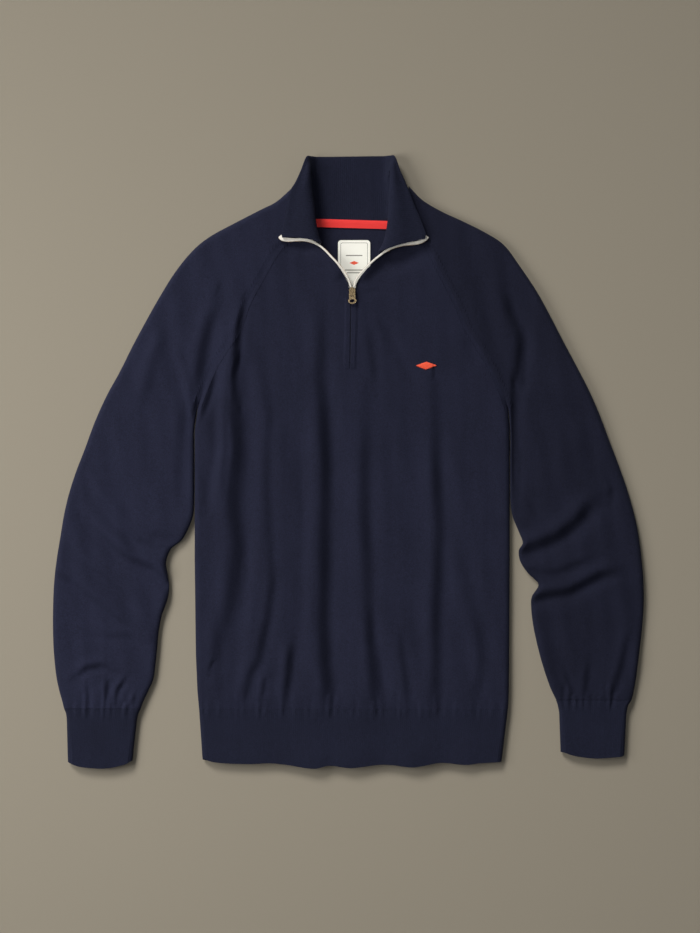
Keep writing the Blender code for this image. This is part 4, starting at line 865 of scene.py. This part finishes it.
def back_panel(material, cells=64):
    """Flat rows between the two seams; the top rows follow the neck."""
    edge = edge_steps(SEAM_GAP, EDGE_TURN, len(BACK_SIDE))
    shares = np.linspace(0, 1, cells + 1)
    neck_x = BACK_NECK[0][0] + (BACK_NECK[-1][0] - BACK_NECK[0][0]) * shares
    neck_y = table_at(BACK_NECK, neck_x, 1)
    rows = []
    for left, right, place in BODY_ROWS:
        closed = closed_share(place)
        height = float(laid_height(left[1]))
        edges, turns = [], []
        for side, shift, way in ((left, BACK_RAGLAN_SHIFT_LEFT, 1.0), (right, BACK_RAGLAN_SHIFT_RIGHT, -1.0)):
            seam = side + np.array(shift) * above_underarm(place)
            inward = np.array((way, 0.0))
            laid = turned(side, inward, height, BACK_SIDE, EDGE_TURN)
            edges.append(mix(flat(seam + inward * edge, 0.0, DOWN), laid, closed))
            turns.append(mix(seam, side, closed) + inward * EDGE_TURN)
        plan = turns[0] + (turns[1] - turns[0]) * shares[:, None]
        near_neck = max(0.0, 1.0 - place / BACK_NECK_ROWS)
        plan += (np.column_stack([neck_x, neck_y - BACK_NECK_STEP * place]) - plan) * near_neck
        rows.append(np.vstack([edges[0], flat(plan, 0.0, DOWN), edges[1][::-1]]))
    outer, inner = layers(rows)
    return shell("back_knit", outer, inner, [numbered(outer)], material, outer[..., :2] * MM)


# ---------------- rib bands
def rib_wave(arc, high):
    """Rounded rib wales with narrow grooves between."""
    return high * (np.abs(np.sin(math.pi * arc / RIB_PITCH)) ** 0.7 - 0.75)


def band(name, seam_y, sides, front_edge, back_y, material, rows_down=22):
    """A flat rib tube in rows from its seam down: front, right edge, back, left edge."""
    top_y = seam_y - SEAM_GAP / 2
    turn = EDGE_TURN * BAND_TURN
    front_cells = int((sides[0][2] - sides[0][1] - 2 * turn) / RIB_PITCH * WALE_CELLS)
    back_cells = front_cells // 2
    edge_curve = spline(front_edge, 8)
    angles = np.linspace(90, -90, 25)[1:-1]
    rise = (1 + np.sin(np.radians(angles))) / 2
    rise = np.concatenate([np.ones(front_cells + 1), rise, np.zeros(back_cells + 1), rise[::-1]])
    rows = []
    for down in np.arange(rows_down + 1) / rows_down:
        left_x, right_x = (float(table_at(sides, down, column)) for column in (1, 2))
        near = 1.0 - float(smooth(0.0, BAND_EASE, down))
        height = BAND_HEIGHT + (float(laid_height(seam_y)) - BAND_HEIGHT) * near
        front_x = np.linspace(left_x + turn, right_x - turn, front_cells + 1)
        back_x = np.linspace(right_x - turn, left_x + turn, back_cells + 1)
        lift = table_at(edge_curve, front_x, 2) * float(smooth(0.35, 1.0, down))
        lift += relief(front_x, np.full(front_x.shape, seam_y)) * near ** 2
        lift -= BAND_SEAM_DIP * bell(down * BAND_TALL, 2.0)
        row = np.vstack([
            flat(np.outer(front_x, (1, 0)), height + lift, UP),
            turned((right_x, 0.0), (-1.0, 0.0), height, angles, turn),
            flat(np.outer(back_x, (1, 0)), 0.0, DOWN),
            turned((left_x, 0.0), (1.0, 0.0), height, angles[::-1], turn),
        ])
        front_y = top_y + (table_at(edge_curve, row[:, 0], 1) - top_y) * down
        row[:, 1] = mix(top_y + (back_y - top_y) * down, front_y, rise)
        rows.append(row)
    outer, facing = np.array(rows)[..., :3], np.array(rows)[..., 3:6]
    inner = outer - facing * RIB_WALL
    arc = walked(outer[0])
    underneath = facing[0][:, 2] < -0.99
    wave = np.where(underneath, -RIB_HIGH / 2, rib_wave(arc, RIB_HIGH))
    ease = RIB_AT_SEAM + (1 - RIB_AT_SEAM) * smooth(0, 1.2, np.arange(rows_down + 1)[:, None])
    outer = outer + facing * (wave * ease)[..., None]
    uv = places_on_cloth(arc, -np.linspace(0, BAND_TALL, rows_down + 1)[:, None])
    return shell(name, outer, inner, [looped(numbered(outer))[::-1]], material, uv)


# ---------------- collar
def collar_section(row):
    """One section of the collar, from its seam over the roll to its edge."""
    *places, bow, stand, lift = row
    seam, roll, edge = np.reshape(places, (3, 2))
    along = unit(edge - roll)
    across = np.array((along[1], -along[0]))
    if across[1] < 0:
        across = -across
    middle = COLLAR_THICK / 2
    line = []
    for to_roll, to_edge, height in COLLAR_SECTION:
        start = seam + (roll - seam) * to_roll
        plan = start + (edge - start) * to_edge + across * (bow * 4 * to_edge * (1 - to_edge))
        line.append((*plan, middle + (height + lift * to_edge - middle) * stand))
    return line


def collar(material):
    """The stand collar as one double layer, thinner at its edge, raised in ribs on both faces."""
    around = spline([collar_section(row) for row in COLLAR_LEFT + (COLLAR_MIDDLE,) + COLLAR_RIGHT[::-1]], 30)
    steps = np.linalg.norm(np.diff(around, axis=0), axis=2)[:, 2:].mean(axis=1)
    arc = np.concatenate([[0], np.cumsum(steps)])
    count = int(arc[-1] / RIB_PITCH * WALE_CELLS)
    places = np.linspace(0, arc[-1], count + 1)
    even = rows_at(places, arc, around.reshape(len(around), -1)).reshape(count + 1, -1, 3)
    middle = np.array([spline(row, 5) for row in even])
    facing = unit(np.cross(np.gradient(middle, axis=0), np.gradient(middle, axis=1)))
    on_table = middle[..., 2] < COLLAR_THICK / 2 + 0.02
    facing[on_table] = UP
    wave = rib_wave(places, COLLAR_RIB_HIGH)[:, None]
    thin = 1.0 - COLLAR_THINNED * smooth(COLLAR_THIN_FROM, 1.0, np.linspace(0, 1, middle.shape[1]))
    half = COLLAR_THICK / 2 * thin - RIB_SINK
    outer = middle + facing * (half + wave)[..., None]
    inner = middle - facing * (half + wave * (middle[..., 2] > RIBS_FROM_Z))[..., None]
    inner[..., 2] = np.maximum(inner[..., 2], 0.0)
    uv = places_on_cloth(places[:, None], walked(middle[count // 2]))
    return shell("collar_rib", outer, inner, [numbered(middle)[:, ::-1]], material, uv)


# ---------------- trims
def rounded_box(low_x, high_x, low_y, high_y, corner, steps=6):
    """The outline of a rectangle with round corners."""
    centres = ((high_x - corner, high_y - corner), (low_x + corner, high_y - corner),
               (low_x + corner, low_y + corner), (high_x - corner, low_y + corner))
    outline = []
    for quarter, (x, y) in enumerate(centres):
        for step in range(steps + 1):
            angle = math.radians(90 * quarter + 90 * step / steps)
            outline.append((x + corner * math.cos(angle), y + corner * math.sin(angle)))
    return outline


def sweep(name, path, half_width, half_thick, material, widen=None, steps=2):
    """Sweeps a section with round corners along a path and closes its ends."""
    section = np.array(rounded_box(-half_width, half_width, -half_thick, half_thick,
                                   min(half_thick, half_width) * 0.9, steps))
    path = np.asarray(path, dtype=float)
    widen = np.ones(len(path)) if widen is None else widen
    runs = unit(np.gradient(path, axis=0))
    side = unit(np.cross(runs, UP))
    rise = np.cross(side, runs)
    sideways = section[:, :1] * widen[:, None, None]
    points = path[:, None] + side[:, None] * sideways + rise[:, None] * section[:, 1:]
    ids = numbered(points)
    faces = quads(looped(ids))[:, [0, 3, 2, 1]].tolist() + [ids[0], ids[-1][::-1]]
    return new_object(name, points, faces, material, places_on_cloth(walked(section), walked(path)[:, None]))


def join(name, pieces):
    """Joins small pieces into one object, keeping their materials."""
    first = pieces[0]
    with bpy.context.temp_override(active_object=first, selected_editable_objects=pieces):
        bpy.ops.object.join()
    first.name = name
    return first


def strip(name, x, y, low, high, material):
    """A thin strip over a grid of places, from a low to a high z."""
    x, y, low, high = np.broadcast_arrays(x, y, low, high)
    outer, inner = np.dstack([x, y, high]), np.dstack([x, y, low])
    return shell(name, outer, inner, [numbered(outer)[::-1]], material, outer[..., :2] * MM)


def welt(name, column, slit_at, material, cells_across=16, cells_down=8):
    """A strip over the front panel; it thins out away from the slit and at its lower end."""
    dense = spline(WELTS, cells_down)
    down, left_x, right_x = dense[:, :1], dense[:, column, None], dense[:, column + 1, None]
    shares = np.linspace(0, 1, cells_across + 1)
    from_slit = np.abs(shares - slit_at)
    x = left_x + (right_x - left_x) * shares
    y = np.broadcast_to(down, x.shape)
    base = front_z(x, y) + WELT_GAP
    crown = smooth(1.0, 0.62, from_slit) * (0.35 + 0.65 * smooth(0.0, 0.12, from_slit))
    lower_end = smooth(down[-1], down[-1] + 5.0, down)
    high = WELT_EDGE + (WELT_HIGH - WELT_EDGE) * crown * lower_end
    return strip(name, x, y, base, base + high, material)


# ---------------- materials
class Nodes:
    """Short calls for building a material's node tree."""

    def __init__(self, name):
        self.material = bpy.data.materials.new(name)
        self.material.use_nodes = True
        self.tree = self.material.node_tree
        self.tree.nodes.clear()
        self.shader = self.tree.nodes.new("ShaderNodeBsdfPrincipled")
        self.add("OutputMaterial", {"Surface": self.shader.outputs["BSDF"]}, None)

    def feed(self, sockets, values):
        """Links each output to its socket, or sets a plain value on it."""
        for key, value in values.items():
            if hasattr(value, "is_output"):
                self.tree.links.new(value, sockets[key])
            else:
                sockets[key].default_value = value

    def add(self, kind, values, output=0, **settings):
        """A new node, fed with values; gives the output asked for."""
        node = self.tree.nodes.new("ShaderNode" + kind)
        for key, value in settings.items():
            setattr(node, key, value)
        self.feed(node.inputs, values)
        return None if output is None else node.outputs[output]

    def math(self, operation, *values, clamp=False):
        return self.add("Math", dict(enumerate(values)), operation=operation, use_clamp=clamp)

    def total(self, first, *others):
        for value in others:
            first = self.math("ADD", first, value)
        return first

    def ripple(self, value, factor):
        """Rounded bumps: the size of a sine."""
        return self.math("ABSOLUTE", self.math("SINE", self.math("MULTIPLY", value, factor)))

    def cloth_place(self):
        split = self.add("SeparateXYZ", {0: self.add("UVMap", {}, uv_map="cloth")})
        return split, split.node.outputs[1]

    def noise(self, scale, detail=2.0, rough=0.5, stretch=None):
        """Noise in the object's own space, finer along an axis that is stretched more."""
        place = self.add("TexCoord", {}, "Object")
        if stretch is not None:
            place = self.add("Mapping", {"Vector": place, "Scale": stretch})
        values = {"Vector": place, "Scale": scale, "Detail": detail, "Roughness": rough}
        return self.add("TexNoise", values, "Fac")

    def ramp(self, value, low, high, from_low=0.0, from_high=1.0):
        return self.add("MapRange", {"Value": value, "From Min": from_low, "From Max": from_high,
                                     "To Min": low, "To Max": high})

    def blend(self, share, first, second):
        return self.add("Mix", {0: share, 6: first, 7: second}, 2, data_type="RGBA")

    def toned(self, colour, low, high, *tones):
        """A colour between two shades of itself, by the sum of some tones."""
        share = self.math("ADD", 0.5, self.total(*tones), clamp=True)
        return self.blend(share, shade(colour, low), shade(colour, high))

    def bump(self, height, strength, distance, below=None):
        values = {"Strength": strength, "Distance": distance, "Height": height}
        if below is not None:
            values["Normal"] = below
        return self.add("Bump", values)

    def finish(self, colour, rough, normal, **more):
        """Feeds the shader; the words of more are its other sockets."""
        values = {"Base Color": colour, "Roughness": rough, "Normal": normal}
        values.update({key.replace("_", " "): value for key, value in more.items()})
        self.feed(self.shader.inputs, values)
        return self.material


def shade(colour, factor):
    return tuple(min(1.0, channel * factor) for channel in colour[:3]) + (1.0,)


def knit(name, colour, wale=STITCH_WALE, course=STITCH_COURSE, strength=0.55):
    """Fine jersey: columns of V stitches, a little fuzz and slow changes of tone."""
    n = Nodes(name)
    u, v = n.cloth_place()
    across = n.math("DIVIDE", u, wale * MM)
    along = n.math("DIVIDE", v, course * MM)
    side = n.math("ABSOLUTE", n.math("SUBTRACT", n.math("FRACT", across), 0.5))
    loop = n.ripple(n.math("ADD", along, n.math("MULTIPLY", side, 1.3)), math.pi)
    stitch = n.math("MULTIPLY", n.math("POWER", n.ripple(side, 2 * math.pi), 0.6),
                    n.math("ADD", 0.35, n.math("MULTIPLY", loop, 0.65)))
    fuzz = n.noise(2600.0, 3.0, 0.7)
    fleck = n.noise(760.0, 2.0, 0.6)
    mottle = n.noise(260.0, 3.0, 0.6)
    cloud = n.noise(16.0, 3.0, 0.55)
    streak = n.noise(1.0, stretch=(150.0, 14.0, 40.0))
    base = n.toned(colour, 0.42, 1.58, n.ramp(mottle, -0.13, 0.13), n.ramp(cloud, -0.16, 0.16),
                   n.ramp(streak, -0.07, 0.07), n.ramp(fuzz, -0.24, 0.24), n.ramp(fleck, -0.52, 0.52),
                   n.ramp(stitch, -0.20, 0.10))
    height = n.math("ADD", n.math("MULTIPLY", stitch, 0.8), n.math("MULTIPLY", fuzz, 0.5))
    normal = n.bump(mottle, 0.18, 0.0008, n.bump(height, strength, 0.00035))
    return n.finish(base, n.ramp(fuzz, 0.82, 0.98), normal, Sheen_Weight=0.05, Sheen_Roughness=0.45,
                    Sheen_Tint=(0.55, 0.62, 0.95, 1.0), Specular_IOR_Level=0.10)


def woven(name, colour, pitch, contrast=0.12, rough=0.75, across_only=False, spread=(0.72, 1.2)):
    """A close plain weave, or grosgrain whose threads show across only."""
    n = Nodes(name)
    warp, weft = (n.ripple(place, math.pi / (pitch * MM)) for place in n.cloth_place())
    thread = warp if across_only else n.math("MULTIPLY", warp, weft)
    speck = n.noise(1500.0, 2.0, 0.6)
    base = n.toned(colour, *spread, n.ramp(thread, -contrast, contrast), n.ramp(speck, -0.12, 0.12),
                   n.ramp(n.noise(60.0), -0.08, 0.08))
    normal = n.bump(n.math("ADD", thread, n.math("MULTIPLY", speck, 0.4)), 0.5, 0.0002)
    return n.finish(base, rough, normal, Sheen_Weight=0.12)


def metal(name, colour, dark):
    """Antique brass: darkened in the recesses, with a brushed grain."""
    n = Nodes(name)
    wear = n.ramp(n.noise(900.0, 4.0, 0.6), 0.0, 1.0, 0.35, 0.65)
    grain = n.noise(1.0, stretch=(6000.0, 500.0, 500.0))
    return n.finish(n.blend(wear, dark, colour), n.ramp(grain, 0.26, 0.5), n.bump(grain, 0.25, 0.00005),
                    Metallic=1.0)


def backdrop(name, colour):
    """Matt paper, faintly uneven in tone."""
    n = Nodes(name)
    fine = n.noise(420.0, 3.0, 0.6)
    share = n.math("ADD", n.ramp(n.noise(2.2), 0.3, 0.7), n.ramp(fine, -0.08, 0.08), clamp=True)
    base = n.blend(share, shade(colour, 0.97), shade(colour, 1.03))
    return n.finish(base, 0.85, n.bump(fine, 0.05, 0.0004))


NAVY = (0.0124, 0.0137, 0.0291)
NAVY_RIB = (0.0106, 0.0120, 0.0254)
FLOOR = (0.245, 0.217, 0.168)

knit_front = knit("knit_front", NAVY)
knit_back = knit("knit_back", NAVY)
# The sleeves are lit and shaded copies of one navy. The left is painted lighter (painted light) and the right
# darker (painted shade), for the fall of the key light from the upper left.
knit_sleeve = {"left": knit("knit_sleeve_left_painted_light", shade(NAVY, 1.14)),
               "right": knit("knit_sleeve_right_painted_shade", shade(NAVY, 0.78))}
rib_knit = knit("rib_knit", NAVY_RIB, strength=0.45)
collar_knit = knit("collar_knit", NAVY_RIB, strength=0.45)
welt_knit = knit("welt_knit", NAVY, wale=1.2, course=1.0)
zip_tape = woven("zip_tape", (0.80, 0.76, 0.68), 0.5)
zip_teeth = metal("zip_teeth", (0.62, 0.42, 0.24, 1.0), (0.30, 0.18, 0.09, 1.0))
brass = metal("antique_brass", (0.36, 0.27, 0.15, 1.0), (0.09, 0.065, 0.04, 1.0))
red_tape = woven("red_tape", (0.86, 0.028, 0.024), 0.7, contrast=0.2, across_only=True)
label_cloth = woven("label_cloth", (0.95, 0.94, 0.85), 0.35, contrast=0.10, spread=(0.90, 1.05))
label_grey = woven("label_grey", (0.20, 0.19, 0.16), 0.35)
orange_thread = woven("orange_thread", (0.84, 0.085, 0.03), 0.4, contrast=0.2, rough=0.5, across_only=True)
chain_cloth = woven("chain_cloth", (0.020, 0.020, 0.028), 0.5)


# ---------------- the garment
def put(piece, node):
    """Puts a piece on the garment and hides the solid that it stands for."""
    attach(piece, GARMENT)
    if node is not None:
        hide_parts(node)
    return piece


put(back_panel(knit_back), "back_panel")
put(front_panel(knit_front), "front_panel")
put(sleeve("sleeve_left_knit", SLEEVE_LEFT, BACK_RAGLAN_SHIFT_LEFT, knit_sleeve["left"]),
    "sleeve_left")
put(sleeve("sleeve_right_knit", SLEEVE_RIGHT, BACK_RAGLAN_SHIFT_RIGHT, knit_sleeve["right"], flip=True),
    "sleeve_right")
put(band("hem_rib", SEAM_Y, HEM_SIDES, HEM_EDGE, HEM_BACK_Y, rib_knit),
    "hem_band")
put(band("cuff_left_rib", SEAM_Y, CUFF_SIDES_LEFT, CUFF_LEFT_EDGE, CUFF_BACK_Y_LEFT, rib_knit),
    "cuff_left")
put(band("cuff_right_rib", RIGHT_CUFF_SEAM_Y, CUFF_SIDES_RIGHT, CUFF_RIGHT_EDGE, CUFF_BACK_Y_RIGHT, rib_knit),
    "cuff_right")
put(collar(collar_knit), "collar")
for node, column, slit_at, area in (("welt_left", 1, 1.0, 0.00082), ("welt_right", 3, 0.0, 0.00077)):
    put(welt(node + "_knit", column, slit_at, welt_knit),
        node)


def zip_edge(name, course, sign, turn_x):
    """Cream binding along the open zip; its teeth face the opening, and the turned leaf flips them."""
    rows = spline(course, 6)
    path, half_widths = rows[:, :3], rows[:, 3] / 2
    widest = half_widths.max()
    tape = sweep(name + "_tape", path, widest, ZIP_BAND_THICK / 2, zip_tape, half_widths / widest, steps=4)
    lengths = walked(path)
    places = np.arange(TOOTH_FROM, lengths[-1] - TOOTH_CLEAR, TOOTH_PITCH)
    measured = np.column_stack([path, unit(np.gradient(path, axis=0)), half_widths])
    teeth = []
    for row in rows_at(places, lengths, measured):
        centre, run, half_width = row[:3], unit(row[3:6]), row[6]
        side = unit(np.cross(run, UP))
        flipped = sign * np.clip((abs(centre[0]) - turn_x) / TOOTH_FLIP, -1.0, 1.0)
        rise = TOOTH_RISE * (1 - abs(flipped)) - TOOTH_SINK
        out = centre + flipped * side * (half_width - 0.1) + UP * rise
        ends = (out - flipped * side * 0.6, out + side * (0.5 * flipped + 0.01))
        teeth.append(sweep("tooth", ends, *TOOTH_HALF, zip_teeth, steps=1))
    teeth = put(join(name + "_tape_teeth", teeth), None)
    put(tape, name)


zip_edge("zip_edge_left", ZIP_EDGE_LEFT, 1.0, 38.0)
zip_edge("zip_edge_right", ZIP_EDGE_RIGHT, -1.0, 40.0)


def neck_tape():
    """The red tape over the back neck seam, a little wavy along its length."""
    rows = spline(NECK_TAPE, 5)
    shares = np.linspace(0, 1, 61)
    x = NECK_TAPE_X[0] + (NECK_TAPE_X[1] - NECK_TAPE_X[0]) * shares
    y = rows[:, :1] + (rows[:, 1:2] - rows[:, :1]) * shares
    z = rows[:, 2:3] + TAPE_WAVE_HIGH * np.sin(shares * TAPE_WAVES) ** 2
    return strip("neck_tape_red", x, y, z, z + TAPE_THICK, red_tape)


put(neck_tape(), "neck_tape")


def flat_object(name, points, faces, material):
    uv = np.array(points)[:, :2] * MM
    return new_object(name, points, faces, material, uv, smooth_shaded=False)


def plate(name, outline, low, high, material):
    """A flat piece with upright sides."""
    count = len(outline)
    points = [(x, y, z) for z in (low, high) for x, y in outline]
    faces = [range(count)[::-1], range(count, 2 * count)]
    for index in range(count):
        after = (index + 1) % count
        faces.append((index, after, after + count, index + count))
    return flat_object(name, points, faces, material)


def frame_ring(name, low_x, high_x, low_y, high_y, corner, width, low, high, material):
    """A thin flat border line, standing a hair proud of the label."""
    outside = rounded_box(low_x, high_x, low_y, high_y, corner)
    inside = rounded_box(low_x + width, high_x - width, low_y + width, high_y - width,
                         max(0.5, corner - width))
    count = len(outside)
    points = [(x, y, z) for z in (low, high) for x, y in outside + inside]
    faces = []
    for here in range(count):
        after = (here + 1) % count
        top_here, top_after = here + 2 * count, after + 2 * count
        faces += [(top_here, top_after, top_after + count, top_here + count),
                  (top_after, top_here, here, after),
                  (top_here + count, top_after + count, after + count, here + count),
                  (here + count, after + count, after, here)]
    return flat_object(name, points, faces, material)


SQUARE = ((-1, -1), (1, -1), (1, 1), (-1, 1))
LOZENGE = ((-1, 0), (0, -1), (1, 0), (0, 1))


def four_corners(shape, x, y, half_x, half_y):
    return [(x + along * half_x, y + up * half_y) for along, up in shape]


label = plate("label_blank", rounded_box(*LABEL_X, *LABEL_Y, LABEL_CORNER),
              LABEL_Z, LABEL_Z + LABEL_THICK, label_cloth)
border = frame_ring("label_border", *BORDER_X, *BORDER_Y, BORDER_CORNER, BORDER_WIDTH,
                    PRINT_LOW, PRINT_HIGH, label_grey)
bars = [plate("label_bar", four_corners(SQUARE, LABEL_MIDDLE, y, half, BAR_HALF_TALL),
              PRINT_LOW, PRINT_HIGH, label_grey) for y, half in LABEL_BARS]
label_bars = join("label_bars", bars)
label_mark = plate("label_mark", four_corners(LOZENGE, LABEL_MIDDLE, *LABEL_MARK),
                   PRINT_LOW, MARK_HIGH, orange_thread)
prints = [put(piece, None) for piece in (border, label_bars, label_mark)]
put(label, "neck_label")


def chest_motif():
    """A plain lozenge in satin stitch: close diagonal threads, raised in the middle."""
    threads = []
    half_x, half_y = MOTIF_HALF
    steps = np.linspace(-1, 1, 7)
    for offset in np.arange(-half_x + 0.5, half_x, MOTIF_PITCH):
        reach = half_y * (1 - abs(offset) / half_x) * 0.98 + 0.35
        x = MOTIF_CENTRE[0] + offset + steps * 0.5
        y = MOTIF_CENTRE[1] + steps * reach
        z = front_z(x, y) + 0.45 + 0.55 * (1 - steps ** 2) ** 0.5
        threads.append(sweep("thread", np.column_stack([x, y, z]), *THREAD_HALF, orange_thread))
    return join("motif_stitches", threads)


put(chest_motif(), "chest_motif")


def fashioning_marks(name, line, offset, material, start=2.0):
    """The small raised stitches that a shaped raglan leaves beside its seam."""
    lengths = walked(line)
    dice = random.Random(int(abs(offset) * 10) + len(name))
    steps = np.linspace(-1, 1, 5)[:, None]
    marks = []
    place = start
    while place < lengths[-1] - 3:
        here, ahead = rows_at([place, min(place + 1, lengths[-1])], lengths, line)
        run = unit(ahead - here)
        side = np.array((-run[1], run[0]))
        lean = unit(np.array((side[0] * 0.35 * np.sign(offset), 1.0)))
        plan = here + side * offset + lean * steps * MARK_HALF_LENGTH
        z = front_z(plan[:, 0], plan[:, 1]) + 0.05 + 0.22 * (1 - steps[:, 0] ** 2)
        marks.append(sweep("mark", np.column_stack([plan, z]), *MARK_HALF, material))
        place += MARK_PITCH * dice.uniform(0.9, 1.1)
    return put(join(name, marks), None)


for side_name, way in (("left", 1.0), ("right", -1.0)):
    line = RAGLANS[side_name]
    fashioning_marks("marks_front_" + side_name, line, way * MARK_OFFSET, knit_front)
    fashioning_marks("marks_sleeve_" + side_name, line, -way * MARK_OFFSET, knit_sleeve[side_name], start=4.0)

for node, material in (("zip_chain", chain_cloth), ("zip_slider", brass), ("zip_pull", brass)):
    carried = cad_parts[node]
    for slot in carried.material_slots:
        slot.material = material
    if not carried.material_slots:
        carried.data.materials.append(material)
    if node != "zip_chain":
        bevel = carried.modifiers.new("edges", "BEVEL")
        bevel.width = METAL_BEVEL * MM
        bevel.segments = 2
        bevel.limit_method = "ANGLE"
        bevel.angle_limit = math.radians(40)

# ---------------- stage and light
floor_corners = [(x, y, FLOOR_Z) for x, y in four_corners(SQUARE, 0, 0, FLOOR_HALF, FLOOR_HALF)]
floor_paper = backdrop("floor_paper", FLOOR)
floor = new_object("floor", floor_corners, [(0, 1, 2, 3)], floor_paper, smooth_shaded=False)


def light(name, kind, place, target, power, **settings):
    """A light that points from its place at a target."""
    data = bpy.data.lights.new(name, kind)
    data.energy = power
    for key, value in settings.items():
        setattr(data, key, value)
    lamp = add_to_scene(name, data)
    lamp.location = place
    lamp.rotation_euler = (Vector(target) - Vector(place)).to_track_quat("-Z", "Y").to_euler()


# The key comes low from the upper left; the side light lifts the left of the table, and the overhead
# light its middle.
KEY_HIGH = math.radians(34)
KEY_PLAN = (-0.52, 0.85)
KEY_FROM = (KEY_PLAN[0] * math.cos(KEY_HIGH), KEY_PLAN[1] * math.cos(KEY_HIGH), math.sin(KEY_HIGH))
MIDDLE = (0.0, 0.0, 0.0)
light("key", "SUN", KEY_FROM, MIDDLE, power=2.7, angle=math.radians(20), color=(1.0, 0.985, 0.96))
light("side", "AREA", (-1.5, 0.05, 1.2), MIDDLE, power=25.0, shape="DISK", size=1.2, color=(1.0, 0.99, 0.97))
light("overhead", "SPOT", (0.0, -0.05, 3.6), (0.0, -0.05, 0.0), power=60.0,
      spot_size=math.radians(30), spot_blend=1.0, shadow_soft_size=0.4)
SKY = (0.95, 0.97, 1.0, 1.0)
SKY_POWER = 0.13
world = bpy.data.worlds.new("studio")
world.use_nodes = True
world.node_tree.nodes["Background"].inputs["Color"].default_value = SKY
world.node_tree.nodes["Background"].inputs["Strength"].default_value = SKY_POWER
bpy.context.scene.world = world
bpy.context.scene.view_settings.view_transform = "Standard"
bpy.context.scene.view_settings.look = "None"

# ---------------- camera
# Metres on the garment for one pixel of the frame.
PIXEL = 1.27 * MM
FRAME_WIDE = 700
SENSOR = 36.0
CAMERA_HIGH = 3.2
# The height on the garment that is drawn at true scale.
FOCUS_Z = 0.010
# How many pixels the camera stands off the middle of the chest.
CAMERA_OFF = (1.0, -4.0)
camera_data = bpy.data.cameras.new("camera")
camera_data.sensor_fit = "HORIZONTAL"
camera_data.sensor_width = SENSOR
camera_data.lens = SENSOR * (CAMERA_HIGH - FOCUS_Z) / (FRAME_WIDE * PIXEL)
camera_data.clip_end = 20.0
camera = add_to_scene("camera", camera_data)
camera.location = (CAMERA_OFF[0] * PIXEL, CAMERA_OFF[1] * PIXEL - BOX_MIDDLE[1] * MM, CAMERA_HIGH)
bpy.context.scene.camera = camera
